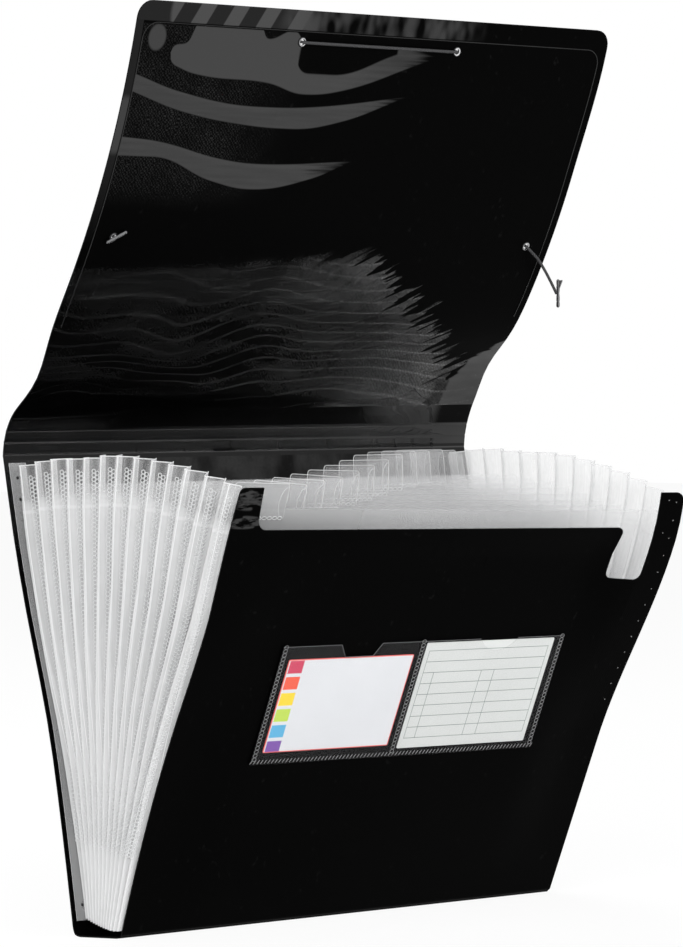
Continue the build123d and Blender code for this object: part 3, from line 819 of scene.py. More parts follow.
def ribbon(name, rows, half, finishes):
    """Film through rows of points, given half its thickness; each point also has its place on the map."""
    height, width = len(rows), len(rows[0])
    points, spots = [], []
    for side in (1.0, -1.0):
        for r, row in enumerate(rows):
            for c, (spot, chart) in enumerate(row):
                up = rows[min(r + 1, height - 1)][c][0] - rows[max(r - 1, 0)][c][0]
                across = row[min(c + 1, width - 1)][0] - row[max(c - 1, 0)][0]
                points.append((spot + across.cross(up).normalized() * (half * side)) * MM)
                spots.append(chart)
    count = height * width
    faces = []
    for r in range(height - 1):
        for c in range(width - 1):
            a = r * width + c
            faces.append([a, a + 1, a + width + 1, a + width])
    faces += [[index + count for index in reversed(face)] for face in faces]
    sides = len(faces)
    rim = list(range(width)) + [r * width + width - 1 for r in range(1, height)]
    rim += [(height - 1) * width + c for c in range(width - 2, -1, -1)]
    rim += [r * width for r in range(height - 2, 0, -1)]
    faces += [[b, a, a + count, b + count] for a, b in zip(rim, rim[1:] + rim[:1])]
    return solid(name, points, faces, spots, sides, finishes)


# Geometry Nodes: weld links and dots along lines, and pressed beads
class Nodes:
    """A Geometry Nodes tree with named inputs, run on lines to give a plain mesh."""

    def __init__(self, name, inputs):
        self.tree = bpy.data.node_groups.new(name, "GeometryNodeTree")
        face = self.tree.interface
        face.new_socket("Geometry", in_out="INPUT", socket_type="NodeSocketGeometry")
        for label, kind in inputs.items():
            face.new_socket(label, in_out="INPUT", socket_type=kind)
        face.new_socket("Geometry", in_out="OUTPUT", socket_type="NodeSocketGeometry")
        self.given = self.tree.nodes.new("NodeGroupInput")
        self.made = self.tree.nodes.new("NodeGroupOutput")

    def value(self, label):
        return self.given.outputs[label]

    def add(self, kind, settings=None, **named):
        node = self.tree.nodes.new(kind)
        for key, value in (settings or {}).items():
            setattr(node, key, value)
        for key, value in named.items():
            socket = node.inputs[key.replace("_", " ")]
            if isinstance(value, bpy.types.NodeSocket):
                self.tree.links.new(value, socket)
            else:
                socket.default_value = value
        return node

    def end(self, geometry):
        real = self.add("GeometryNodeRealizeInstances", Geometry=geometry)
        painted = self.add("GeometryNodeSetMaterial", Geometry=real.outputs[0], Material=self.value("Finish"))
        self.tree.links.new(painted.outputs[0], self.made.inputs[0])

    def run(self, name, lines, **values):
        """Runs the tree on lines, each a list of points and the way that its pieces face."""
        mesh = bpy.data.meshes.new(name + "_lines")
        points, edges, facing = [], [], []
        for line, face in lines:
            start = len(points)
            points += [tuple(point * MM) for point in line]
            facing += [tuple(face)] * len(line)
            edges += [(start + index, start + index + 1) for index in range(len(line) - 1)]
        mesh.from_pydata(points, edges, [])
        chart = mesh.attributes.new("facing", "FLOAT_VECTOR", "POINT")
        chart.data.foreach_set("vector", [value for face in facing for value in face])
        carrier = bpy.data.objects.new(name + "_lines", mesh)
        bpy.context.scene.collection.objects.link(carrier)
        press = carrier.modifiers.new("weld", "NODES")
        press.node_group = self.tree
        for item in self.tree.interface.items_tree:
            key = item.name.replace(" ", "_")
            if item.in_out == "INPUT" and key in values:
                press[item.identifier] = values[key]
        graph = bpy.context.evaluated_depsgraph_get()
        made = bpy.data.meshes.new_from_object(carrier.evaluated_get(graph), depsgraph=graph)
        carrier.modifiers.remove(press)
        bpy.data.objects.remove(carrier)
        bpy.data.meshes.remove(mesh)
        made.name = name
        return made


def turned_points(nodes, curve, pitch):
    """Points along lines at a pitch, and the turn that lays a piece along the line, facing out."""
    line = nodes.add("GeometryNodeResampleCurve", Curve=curve)
    line.mode = "LENGTH"
    nodes.tree.links.new(pitch, line.inputs["Length"])
    facing = nodes.add("GeometryNodeInputNamedAttribute", {"data_type": "FLOAT_VECTOR"}, Name="facing")
    tangent = nodes.add("GeometryNodeInputTangent")
    upright = nodes.add("FunctionNodeAlignRotationToVector", {"axis": "Z"}, Vector=facing.outputs[0])
    along = nodes.add(
        "FunctionNodeAlignRotationToVector", {"axis": "X", "pivot_axis": "Z"},
        Rotation=upright.outputs[0], Vector=tangent.outputs[0],
    )
    return line.outputs[0], along.outputs[0]


def weld_chain_nodes():
    """Links of a hot-wheel weld, end to end along lines."""
    nodes = Nodes("weld_chain", {
        "Pitch": "NodeSocketFloat", "Link Length": "NodeSocketFloat", "Link Width": "NodeSocketFloat",
        "Wire": "NodeSocketFloat", "Slant": "NodeSocketFloat", "Finish": "NodeSocketMaterial",
    })
    curve = nodes.add("GeometryNodeMeshToCurve", Mesh=nodes.value("Geometry"))
    points, turn = turned_points(nodes, curve.outputs[0], nodes.value("Pitch"))
    ring = nodes.add("GeometryNodeCurvePrimitiveCircle", Resolution=8, Radius=0.5)
    size = nodes.add("ShaderNodeCombineXYZ", X=nodes.value("Link Length"), Y=nodes.value("Link Width"), Z=1.0)
    oval = nodes.add("GeometryNodeTransform", Geometry=ring.outputs[0], Scale=size.outputs[0])
    slant = nodes.add("ShaderNodeCombineXYZ", X=0.0, Y=0.0, Z=nodes.value("Slant"))
    turned = nodes.add("GeometryNodeTransform", Geometry=oval.outputs[0], Rotation=slant.outputs[0])
    wire = nodes.add("GeometryNodeCurvePrimitiveCircle", Resolution=4, Radius=nodes.value("Wire"))
    link = nodes.add("GeometryNodeCurveToMesh", Curve=turned.outputs[0], Profile_Curve=wire.outputs[0])
    placed = nodes.add("GeometryNodeInstanceOnPoints", Points=points, Instance=link.outputs[0], Rotation=turn)
    nodes.end(placed.outputs[0])
    return nodes


def weld_dot_nodes():
    """Flat round spot welds at a pitch along lines."""
    nodes = Nodes("weld_dots", {
        "Pitch": "NodeSocketFloat", "Dot": "NodeSocketFloat", "Rise": "NodeSocketFloat",
        "Finish": "NodeSocketMaterial",
    })
    curve = nodes.add("GeometryNodeMeshToCurve", Mesh=nodes.value("Geometry"))
    points, turn = turned_points(nodes, curve.outputs[0], nodes.value("Pitch"))
    ball = nodes.add("GeometryNodeMeshUVSphere", Segments=8, Rings=5, Radius=0.5)
    wide, rise = nodes.value("Dot"), nodes.value("Rise")
    size = nodes.add("ShaderNodeCombineXYZ", X=wide, Y=wide, Z=rise)
    dot = nodes.add("GeometryNodeTransform", Geometry=ball.outputs[0], Scale=size.outputs[0])
    placed = nodes.add("GeometryNodeInstanceOnPoints", Points=points, Instance=dot.outputs[0], Rotation=turn)
    nodes.end(placed.outputs[0])
    return nodes


def bead_nodes():
    """A low bead pressed along lines."""
    nodes = Nodes("pressed_bead", {"Bead": "NodeSocketFloat", "Finish": "NodeSocketMaterial"})
    curve = nodes.add("GeometryNodeMeshToCurve", Mesh=nodes.value("Geometry"))
    profile = nodes.add("GeometryNodeCurvePrimitiveCircle", Resolution=6, Radius=nodes.value("Bead"))
    bead = nodes.add(
        "GeometryNodeCurveToMesh", Curve=curve.outputs[0], Profile_Curve=profile.outputs[0], Fill_Caps=True
    )
    nodes.end(bead.outputs[0])
    return nodes


weld_chain, weld_dots, pressed_bead = weld_chain_nodes(), weld_dot_nodes(), bead_nodes()


def smooth(mesh):
    for polygon in mesh.polygons:
        polygon.use_smooth = True
    return mesh


# Cover: base and back in one sheet, then the creases, the strip, the flap and the front panel
def cover_outline(low, high, corner=0.0):
    """A field of the cover's full width between two runs, with its upper corners rounded."""
    return rounded([
        (-COVER_WIDTH / 2, low, 0.0), (COVER_WIDTH / 2, low, 0.0),
        (COVER_WIDTH / 2, high, corner), (-COVER_WIDTH / 2, high, corner),
    ])


crease_band, cover_step = 2.5, 20.0
fine_runs = [step * 0.5 for step in range(-4, 5)]
base_width = FRONT_WIDTH + (COVER_WIDTH - FRONT_WIDTH) * crease_band / BASE_DEPTH
back_outline = [
    (-base_width / 2, crease_band - BASE_DEPTH), (base_width / 2, crease_band - BASE_DEPTH),
    (COVER_WIDTH / 2, -1.0), (COVER_WIDTH / 2, BACK_HEIGHT - crease_band),
    (-COVER_WIDTH / 2, BACK_HEIGHT - crease_band), (-COVER_WIDTH / 2, -1.0),
]
crease_runs = [step * 0.625 for step in range(-8, 9)]
settle(
    plate("back_and_base", back_outline, cover_place, HALF_SHEET, (cover_back, cover_edge, cover_outer),
          cover_step, extra_runs=crease_runs),
    "back", "cover", ("back_panel", "base_spine"),
)


def front_crease_place(x, run, lift=0.0):
    """The band that bends from the base, at runs below 0, up into the front panel."""
    share = (run + crease_band) / (2 * crease_band)
    lower = Vector((x, -BASE_DEPTH / 2 + crease_band, HALF_SHEET))
    upper = front_place(x, crease_band)
    corner = Vector((x, -BASE_DEPTH / 2, HALF_SHEET))
    middle = lower * (1 - share) ** 2 + corner * 2 * share * (1 - share) + upper * share ** 2
    lean = math.radians(-90.0 * (1 - share) + FRONT_TILT * share)
    return middle - Vector((0.0, math.cos(lean), math.sin(lean))) * lift


settle(
    plate("front_crease",
          [(-base_width / 2, -crease_band), (base_width / 2, -crease_band),
           (FRONT_WIDTH / 2, 0.0), (FRONT_WIDTH / 2, crease_band),
           (-FRONT_WIDTH / 2, crease_band), (-FRONT_WIDTH / 2, 0.0)],
          front_crease_place, HALF_SHEET, (cover_black, cover_edge), cover_step,
          extra_runs=[run for run in fine_runs if run]),
    ("back", "front", Vector((0.0, -BASE_DEPTH / 2 + 2.0, HALF_SHEET + 1.0)) * MM,
     Vector((0.0, -BASE_DEPTH / 2 - 0.6, HALF_SHEET + 2.0)) * MM),
    "cover",
)


def band_mesh(name, place, finish):
    """A band of the cover's full width over a crease."""
    outline, finishes = cover_outline(-crease_band, crease_band), (finish, cover_edge, cover_outer)
    return plate(name, outline, place, HALF_SHEET, finishes, cover_step, extra_runs=fine_runs)


def back_crease_place(x, run, lift=0.0):
    """The band round the back's upper crease: the back panel below run 0, the strip above it."""
    if run <= 0.0:
        return back_place(x, BACK_HEIGHT + run, lift)
    return flap_place(x, run - STRIP_LENGTH, lift)


settle(
    band_mesh("back_crease", back_crease_place, cover_crease),
    ("back", "strip", back_crease_place(0.0, -crease_band) * MM, back_crease_place(0.0, crease_band) * MM),
    "cover",
)


SCORE_LINES, SCORE_DEPTH, SCORE_HALF = (-20.7, -14.7), 0.22, 0.7


def score(x, run):
    """Pressed score lines that let the strip bend."""
    return SCORE_DEPTH * max(0.0, 1.0 - min(abs(run - line) for line in SCORE_LINES) / SCORE_HALF)


score_runs = [line + SCORE_HALF * step / 2 for line in SCORE_LINES for step in range(-2, 3)]
settle(
    plate("flap_strip_sheet", cover_outline(crease_band - STRIP_LENGTH, -crease_band), flap_place,
          HALF_SHEET, (cover_strip, cover_edge, cover_outer), cover_step,
          extra_runs=score_runs + steps_between(-25.0, -3.0, 2.5), dent=score),
    "strip", "cover", ("flap_strip",),
)
settle(
    band_mesh("flap_crease", flap_place, cover_flap),
    ("strip", "flap", flap_place(0.0, -crease_band) * MM, flap_place(0.0, crease_band) * MM),
    "cover",
)


def walk(path, step):
    """The path with more points on its long runs."""
    line = []
    for (x, run), (next_x, next_run) in zip(path, path[1:]):
        count = max(1, round(math.hypot(next_x - x, next_run - run) / step))
        line += [(x + (next_x - x) * i / count, run + (next_run - run) * i / count) for i in range(count)]
    return line + [path[-1]]


def circle(x, run, radius, count=20):
    turns = [2 * math.pi * step / count for step in range(count)]
    return [(x + radius * math.cos(turn), run + radius * math.sin(turn)) for turn in turns]


eyelets = {
    "eyelet_side_left": (-SIDE_EYELET[0], SIDE_EYELET[1]),
    "eyelet_end_left": (-END_EYELET[0], END_EYELET[1]),
    "eyelet_end_right": END_EYELET,
    "eyelet_side_right": SIDE_EYELET,
}
settle(
    plate("flap_sheet", cover_outline(crease_band, FLAP_LENGTH, FLAP_CORNER), flap_place,
          HALF_SHEET, (cover_flap, cover_edge, cover_outer), 7.0,
          holes=[circle(*spot, EYELET_HOLE) for spot in eyelets.values()]),
    "flap", "cover", ("flap_panel",),
)

hem_side, hem_end, hem_corner, hem_bead = 5.0, 11.0, 9.0, 0.3
hem_left_foot, hem_right_foot = 52.0, 60.0
hem_x, hem_top = COVER_WIDTH / 2 - hem_side, FLAP_LENGTH - hem_end
hem_path = rounded([
    (-hem_x, hem_left_foot, 0.0), (-hem_x, hem_top, hem_corner),
    (hem_x, hem_top, hem_corner), (hem_x, hem_right_foot, 0.0),
], 8)
hem_line = walk(hem_path, 6.0)
settle(
    smooth(pressed_bead.run(
        "flap_hem", [([flap_place(x, run, HALF_SHEET) for x, run in hem_line], (0.0, -1.0, 0.0))],
        Bead=hem_bead * MM, Finish=cover_hem)),
    "flap", "cover",
)

ear_x = FRONT_WIDTH / 2 - EAR_WIDTH
mouth_foot = FRONT_HEIGHT - MOUTH_DEPTH
slot_foot = mouth_foot - SLOT_DEPTH
left_top, left_slant, left_corner = FRONT_HEIGHT + 4.0, 2.5, 3.0
front_outline = rounded([
    (-FRONT_WIDTH / 2, crease_band, 0.0), (FRONT_WIDTH / 2, crease_band, 0.0),
    (FRONT_WIDTH / 2, FRONT_HEIGHT, EAR_CORNER), (ear_x, FRONT_HEIGHT, 0.0),
    (ear_x, slot_foot, SLOT_CORNER), (ear_x - SLOT_WIDTH, slot_foot, SLOT_CORNER),
    (ear_x - SLOT_WIDTH, mouth_foot, SLOT_CORNER), (-ear_x, mouth_foot, MOUTH_CORNER),
    (-ear_x - left_slant, left_top, 0.0), (-FRONT_WIDTH / 2, left_top, left_corner),
])
settle(
    plate("front_sheet", front_outline, front_place, HALF_SHEET,
          (cover_front, cover_edge, cover_outer), 10.0),
    "front", "cover", ("front_panel",),
)


# Fan: leaves with stepped tabs, their label sleeves and the welds that hold them
def fan_facing(leaf):
    lean_y, lean_z = radial(FAN * leaf / POCKETS - BACK_TILT)
    return Vector((0.0, -lean_y, -lean_z))


UPWARD, FILM_BEAD = (0.0, 0.0, 1.0), 0.2
# How each leaf hangs, from the back on: its sag, its sway, and its tab's droop per millimetre
LEAF_SAG = (-0.6, 0.0, 0.9, 1.4, 2.4, 4.0, 4.7, 4.7, 4.0, 2.8, 0.6, -2.2)
LEAF_SWAY = (-0.6, -1.2, -1.5, -1.2, -0.5, 0.4, 1.1, 1.6, 1.7, 1.25, 0.65, 0.1)
TAB_DROOP = (0.0, 0.0, 0.0, 0.0, 0.0, 0.0, 0.01, 0.03, 0.06, 0.06, 0.08, 0.03)


def leaf_place(leaf, tab_left):
    """Surface of a leaf as it hangs: a little low, swayed between the gussets, its tab drooping."""
    place, index = fan_place(leaf, LEAF_FOOT), leaf - 1
    squeeze = 1.0 - LEAF_SAG[index] / (LEAF_HEIGHT + TAB_HEIGHT)

    def hang(x, run, lift=0.0):
        sway = LEAF_SWAY[index] * (1.0 - (2.0 * x / LEAF_WIDTH) ** 2) * soft_step((run - 40.0) / 190.0)
        droop = TAB_DROOP[index] * (x - tab_left) * soft_step((run - LEAF_HEIGHT + 5.0) / 15.0)
        return place(x, run * squeeze - droop, lift + sway)
    return hang


tab_pitch = (LEAF_WIDTH - TAB_WIDTH - 2 * TAB_MARGIN) / (POCKETS - 2)
sleeve_inset, sleeve_drop, sleeve_lift, sleeve_half = 1.0, 6.0, 0.55, 0.1
leaf_low, foot_corner, brim_drop = 1.8, 9.0, 5.0
for leaf in range(1, POCKETS):
    tab_left = TAB_MARGIN - LEAF_WIDTH / 2 + tab_pitch * (POCKETS - 1 - leaf)
    body, place = f"leaf_{leaf:02d}", leaf_place(leaf, tab_left)
    tab_right, tab_top = tab_left + TAB_WIDTH, LEAF_HEIGHT + TAB_HEIGHT
    outline = rounded([
        (-LEAF_WIDTH / 2, leaf_low, foot_corner), (LEAF_WIDTH / 2, leaf_low, foot_corner),
        (LEAF_WIDTH / 2, LEAF_HEIGHT, LEAF_CORNER), (tab_right, LEAF_HEIGHT, 0.0),
        (tab_right, tab_top, TAB_CORNER), (tab_left, tab_top, TAB_CORNER),
        (tab_left, LEAF_HEIGHT, 0.0), (-LEAF_WIDTH / 2, LEAF_HEIGHT, LEAF_CORNER),
    ], 4)
    sheet_film = leaf_front if leaf + 1 == POCKETS else leaf_rear if leaf == 1 else leaf_film
    settle(
        plate(f"leaf_sheet_{leaf:02d}", outline, place, LEAF_FILM / 2, (sheet_film, leaf_edge), 24.0),
        body, "leaf_film", (f"divider_{leaf:02d}",),
    )
    tab_outline = [(x, run) for x, run in outline if run > LEAF_HEIGHT + TAB_HEIGHT / 2]
    brim_foot = LEAF_HEIGHT - brim_drop
    brim = walk([(tab_right, brim_foot), *tab_outline, (tab_left, brim_foot)], 6.0)
    settle(
        smooth(pressed_bead.run(f"leaf_brim_{leaf:02d}", [([place(x, run) for x, run in brim], UPWARD)],
                                Bead=FILM_BEAD * MM, Finish=tab_edge if leaf > 4 else leaf_edge)),
        body, "leaf_film",
    )
    low, high = LEAF_HEIGHT - sleeve_drop, tab_top - sleeve_inset
    left, right = tab_left + sleeve_inset, tab_right - sleeve_inset
    middle = (low + high) / 2
    notch = [(right - 4.0 * math.cos(math.radians(turn)), middle + 8.6 * math.sin(math.radians(turn)))
             for turn in range(-90, 91, 15)]
    sleeve_outline = [(left, low), (right, low), *notch, (right, high), (left, high)]
    settle(
        plate(f"sleeve_sheet_{leaf:02d}", sleeve_outline, place, sleeve_half, (tab_film, leaf_edge), 12.0,
              lift=sleeve_lift),
        body, "sleeve_film", (f"tab_sleeve_{leaf:02d}",),
    )
    settle(
        smooth(pressed_bead.run(f"sleeve_brim_{leaf:02d}",
                                [([place(x, run, sleeve_lift) for x, run in notch], UPWARD)],
                                Bead=FILM_BEAD * MM, Finish=leaf_edge if leaf > 5 else weld_faint)),
        body, "sleeve_film",
    )
    out = fan_facing(leaf)
    seam = [([place(left + 1.5, low + 1.2, sleeve_lift), place(right - 1.5, low + 1.2, sleeve_lift)], out)]
    settle(
        weld_chain.run(f"sleeve_weld_{leaf:02d}", seam, Pitch=3.3 * MM, Link_Length=3.1 * MM,
                       Link_Width=1.7 * MM, Wire=0.2 * MM, Finish=weld_white),
        body, "sleeve_film",
    )


# Gussets: thirteen pleats a side, each bent between the leaves that it joins
# Weld links on a pleat: how far from its valley each lane lies, and where it starts
WELD_LANES, WELD_LIFT = ((3.9, 0.0), (5.7, 1.05)), 0.16
# The pleats next to the front panel reach out less, and the pleats' tops rise or fall from the back on
FRONT_REACH = {
    -1: {POCKETS - 1: 0.7, POCKETS - 2: 0.9},
    1: {POCKETS - 1: 0.38, POCKETS - 2: 0.72, POCKETS - 3: 0.92},
}
TOP_SLOPE = {-1: (6.9, -3.2), 1: (-7.5, 0.0)}
DIP_DEPTH, DIP_PLEAT, DIP_SPREAD = 1.5, 3.5, 1.2
OPEN_GAP = 13.0


def pleat_row(pleat, side, run, stretch=1.0):
    """Points across one pleat at a run: from its back valley round the ridge to its front valley."""
    inset = HALF_SHEET + WELD_GAP + LEAF_FILM / 2
    near = fan_place(pleat, LEAF_FOOT)(side * VALLEY_X, run, inset if pleat == 0 else 0.0)
    far = fan_place(pleat + 1, LEAF_FOOT)(side * VALLEY_X, run, -inset if pleat + 1 == POCKETS else 0.0)
    gap = far - near
    wobble = 0.5 * math.sin(0.031 * run + 1.7 * pleat + side) + 0.3 * math.sin(0.083 * run + 2.9 * pleat)
    reach = math.sqrt(max(PLEAT_DEPTH ** 2 - gap.length_squared / 4, 1.0))
    reach *= 0.5 + 0.5 * soft_step(run / 150.0)
    reach *= FRONT_REACH[side].get(pleat, 1.0)
    middle = (near + far) / 2 + Vector((side * reach, 0.0, 0.0))
    ridge = middle + gap.normalized() * (wobble * gap.length / OPEN_GAP)
    turn, fold = min(1.4, 0.45 * gap.length), 0.9
    row = []
    for start in (near, far):
        leg = (ridge - start).normalized()
        away = Vector((leg.x, -leg.y, -leg.z))
        bend = [start + (leg * (t * t) + away * ((1 - t) ** 2)) * turn for t in (0.5, 0.75, 1.0)]
        length = (ridge - start).length
        straight = [start + leg * (turn + (length - fold - turn) * share) for share in (0.3, 0.6, 1.0)]
        row.append(bend + straight)
    back, front = row[0], row[1][::-1]
    a, b = back[-1], front[0]
    fold_over = [a * (1 - t) ** 2 + ridge * 2 * t * (1 - t) + b * t * t for t in (0.25, 0.5, 0.75)]
    points = back + fold_over + front
    travelled, chart = 0.0, []
    for index, point in enumerate(points):
        travelled += (point - points[index - 1]).length if index else 0.0
        chart.append((point, (side * (VALLEY_X + travelled), run * stretch)))
    return chart


for side, word in ((-1, "left"), (1, "right")):
    for pleat in range(POCKETS):
        foot = GUSSET_FOOT - 3.5 * pleat / POCKETS
        slope, offset = TOP_SLOPE[side]
        top = GUSSET_HEIGHT + (slope * pleat / (POCKETS - 1) + offset)
        top -= DIP_DEPTH * math.exp(-((pleat - DIP_PLEAT) / DIP_SPREAD) ** 2)
        gusset_runs = [foot + (top - foot) * step / 30 for step in range(31)]
        rows = [pleat_row(pleat, side, run, GUSSET_HEIGHT / top) for run in gusset_runs]
        if side > 0:
            rows = [row[::-1] for row in rows]
        top_near = fan_place(pleat, LEAF_FOOT)(0.0, GUSSET_HEIGHT)
        top_far = fan_place(pleat + 1, LEAF_FOOT)(0.0, GUSSET_HEIGHT)
        share = pleat / (pleat + 1)
        start = 0.5 - math.sin(math.asin(1 - 2 * share) / 3)
        back_off = (top_near - top_far) / (1 - start)
        partner = "front" if pleat + 1 == POCKETS else f"leaf_{pleat + 1:02d}"
        name = f"pleat_{word}_{pleat + 1:02d}"
        bend = ("back", partner, (top_far + back_off) * MM, top_far * MM)
        settle(ribbon(name, rows, LEAF_FILM / 2, (pleat_film, film_edge)), bend, "gusset_film",
               (f"gusset_{word}",))
        lines = []
        for lane, start_run in WELD_LANES:
            line, face = [], Vector()
            for run in gusset_runs[5:-1]:
                row = pleat_row(pleat, side, run + start_run)
                valley, outward = row[-1][0], (row[-4][0] - row[-1][0]).normalized()
                out = outward.cross(Vector(UPWARD))
                out = out if out.x * side > 0 else -out
                line.append(valley + outward * lane + out.normalized() * WELD_LIFT)
                face += out
            lines.append((line, face.normalized()))
        name = f"pleat_weld_{word}_{pleat + 1:02d}"
        settle(
            weld_chain.run(name, lines, Pitch=2.1 * MM, Link_Length=2.1 * MM, Link_Width=1.9 * MM,
                           Wire=0.24 * MM, Finish=weld_pleat if side < 0 else weld_faint),
            bend, "gusset_film",
        )
    flange = [(side * VALLEY_X, GUSSET_FOOT), (side * (VALLEY_X + FLANGE_WIDTH), GUSSET_FOOT),
              (side * (VALLEY_X + FLANGE_WIDTH), GUSSET_HEIGHT), (side * VALLEY_X, GUSSET_HEIGHT)]
    flange_lift = HALF_SHEET + WELD_GAP + LEAF_FILM / 2
    name = f"gusset_flange_{word}"
    settle(
        plate(name, flange if side > 0 else flange[::-1], back_place, LEAF_FILM / 2,
              (flange_film, film_edge), cover_step, lift=flange_lift),
        "back", "gusset_film", (f"gusset_{word}",),
    )
    name = f"flange_welds_{word}"
    weld_x = side * (VALLEY_X + 6.5)
    dots = [([back_place(weld_x, run, flange_lift + 0.15) for run in (14.0, 238.0)], fan_facing(0))]
    settle(
        smooth(weld_dots.run(name, dots, Pitch=11.0 * MM, Dot=1.8 * MM, Rise=0.25 * MM, Finish=weld_dark)),
        "back", "gusset_film",
    )


# Ears: spot welds where the gussets hold the front panel; their grey is a painted glint on the weld pits.
def front_line(path, step, lift):
    """A path on the front panel as a line for the node trees, facing forward."""
    return [front_place(x, run, lift) for x, run in walk(path, step)], fan_facing(POCKETS)


ear_paths = [[(147.5, 120.0), (147.5, 241.0)], [(142.0, 224.0), (142.0, 242.0)]]
settle(
    smooth(weld_dots.run(
        "ear_welds", [front_line(path, 6.0, HALF_SHEET) for path in ear_paths],
        Pitch=9.4 * MM, Dot=0.8 * MM, Rise=0.3 * MM, Finish=weld_grey)),
    "front", "cover",
)

# Card pocket: clear film, its welded seams, and the two cards
film_lift = HALF_SHEET + POCKET_RISE + POCKET_FILM / 2
notch_left, notch_right, notch_slope, notch_depth = -59.0, -31.0, 4.5, 7.0
round_x, round_radius = 51.0, 16.0
round_centre = POCKET_TOP + round_radius - notch_depth
reach = math.degrees(math.acos((round_centre - POCKET_TOP) / round_radius))
round_turns = [math.radians(reach * (1 - step / 6)) for step in range(13)]
round_notch = [
    (round_x + round_radius * math.sin(turn), round_centre - round_radius * math.cos(turn))
    for turn in round_turns
]
pocket_outline = [
    (POCKET_LEFT, POCKET_FOOT), (POCKET_RIGHT, POCKET_FOOT), (POCKET_RIGHT, POCKET_TOP), *round_notch,
    (notch_right, POCKET_TOP), (notch_right - notch_slope, POCKET_TOP - notch_depth),
    (notch_left + notch_slope, POCKET_TOP - notch_depth), (notch_left, POCKET_TOP), (POCKET_LEFT, POCKET_TOP),
]
settle(
    plate("pocket_sheet", pocket_outline, front_place, POCKET_FILM / 2, (pocket_clear, pocket_rim), 12.0,
          lift=film_lift),
    "front", "pocket_film", ("card_pocket",),
)
pocket_tops = [pocket_outline[2:4], pocket_outline[2 + len(round_notch):]]
settle(
    smooth(pressed_bead.run(
        "pocket_brim", [front_line(path, 4.0, film_lift) for path in pocket_tops],
        Bead=FILM_BEAD * MM, Finish=pocket_edge)),
    "front", "pocket_film",
)
half_seam = POCKET_SEAM / 2
seams = {
    "foot": [(POCKET_LEFT, POCKET_FOOT + half_seam), (POCKET_RIGHT, POCKET_FOOT + half_seam)],
    "left": [(POCKET_LEFT + half_seam, POCKET_FOOT + POCKET_SEAM), (POCKET_LEFT + half_seam, POCKET_TOP)],
    "middle": [(MIDDLE_SEAM, POCKET_FOOT + POCKET_SEAM), (MIDDLE_SEAM, POCKET_TOP)],
    "right": [(POCKET_RIGHT - half_seam, POCKET_FOOT + POCKET_SEAM), (POCKET_RIGHT - half_seam, POCKET_TOP)],
}
seam_half, seam_steps, weld_lift = (POCKET_RISE - 0.04) / 2, 24, film_lift + POCKET_FILM / 2
foot_link = dict(Pitch=2.4 * MM, Link_Length=0.2 * MM, Link_Width=2.5 * MM, Wire=0.14 * MM, Slant=-0.5)
side_link = dict(Pitch=2.2 * MM, Link_Length=2.15 * MM, Link_Width=2.7 * MM, Wire=0.15 * MM, Slant=0.0)
for word, ((x0, run0), (x1, run1)) in seams.items():
    wide, tall = (0.0, half_seam) if run0 == run1 else (half_seam, 0.0)
    outline = [
        (x0 - wide, run0 - tall), (x1 + wide, run0 - tall),
        (x1 + wide, run1 + tall), (x0 - wide, run1 + tall),
    ]
    settle(
        plate(f"pocket_seam_{word}", outline, front_place, seam_half, (cover_black,), 12.0,
              lift=HALF_SHEET + POCKET_RISE / 2),
        "front", "pocket_seam", ("pocket_seams",),
    )
    line = [
        front_place(x0 + (x1 - x0) * step / seam_steps, run0 + (run1 - run0) * step / seam_steps, weld_lift)
        for step in range(seam_steps + 1)
    ]
    link = foot_link if word == "foot" else side_link
    settle(
        weld_chain.run(f"pocket_weld_{word}", [(line, fan_facing(POCKETS))], Finish=pocket_weld, **link),
        "front", "pocket_seam",
    )
for name, (left, foot, width, height), finish in (
    ("index_card", INDEX_CARD, index_print), ("lined_card", LINED_CARD, lined_print),
):
    outline = rounded([
        (left, foot, CARD_CORNER), (left + width, foot, CARD_CORNER),
        (left + width, foot + height, CARD_CORNER), (left, foot + height, CARD_CORNER),
    ], 4)
    settle(
        plate(f"{name}_sheet", outline, front_place, CARD_SHEET / 2, (finish,), 12.0,
              lift=HALF_SHEET + POCKET_RISE / 2),
        name, name, (name,),
    )


def face_out(mesh):
    """Turns a mesh's faces outwards."""
    whole = bmesh.new()
    whole.from_mesh(mesh)
    bmesh.ops.recalc_face_normals(whole, faces=whole.faces[:])
    whole.to_mesh(mesh)
    whole.free()
    return smooth(mesh)


# Eyelets: a rolled ring through the flap
def lathe(name, profile, place, steps=32):
    """Turns a closed profile of (radius, lift) about the axis through a place."""
    points, faces = [], []
    for step in range(steps):
        turn = 2 * math.pi * step / steps
        points += [place(radius * math.cos(turn), radius * math.sin(turn), lift) for radius, lift in profile]
    width = len(profile)
    for step in range(steps):
        for index in range(width):
            a, b = step * width + index, step * width + (index + 1) % width
            c, d = (a + width) % len(points), (b + width) % len(points)
            faces.append([a, c, d, b])
    mesh = bpy.data.meshes.new(name)
    mesh.from_pydata([tuple(point * MM) for point in points], [], faces)
    mesh.validate()
    return face_out(mesh)


bore, rim = EYELET_BORE / 2, EYELET_FLANGE / 2
lip = [
    (bore + 0.02, EYELET_FACE - 0.2), (bore + 0.16, EYELET_FACE + 0.22), (bore + 0.45, EYELET_FACE + 0.38),
    (bore + 0.75, EYELET_FACE + 0.4), (rim - 0.2, EYELET_FACE + 0.28), (rim, EYELET_FACE + 0.1),
    (rim - 0.06, EYELET_FACE), (EYELET_HOLE - 0.05, EYELET_FACE),
]
ring_profile = [(bore, 0.0), *lip, *((radius, -lift) for radius, lift in reversed(lip))]
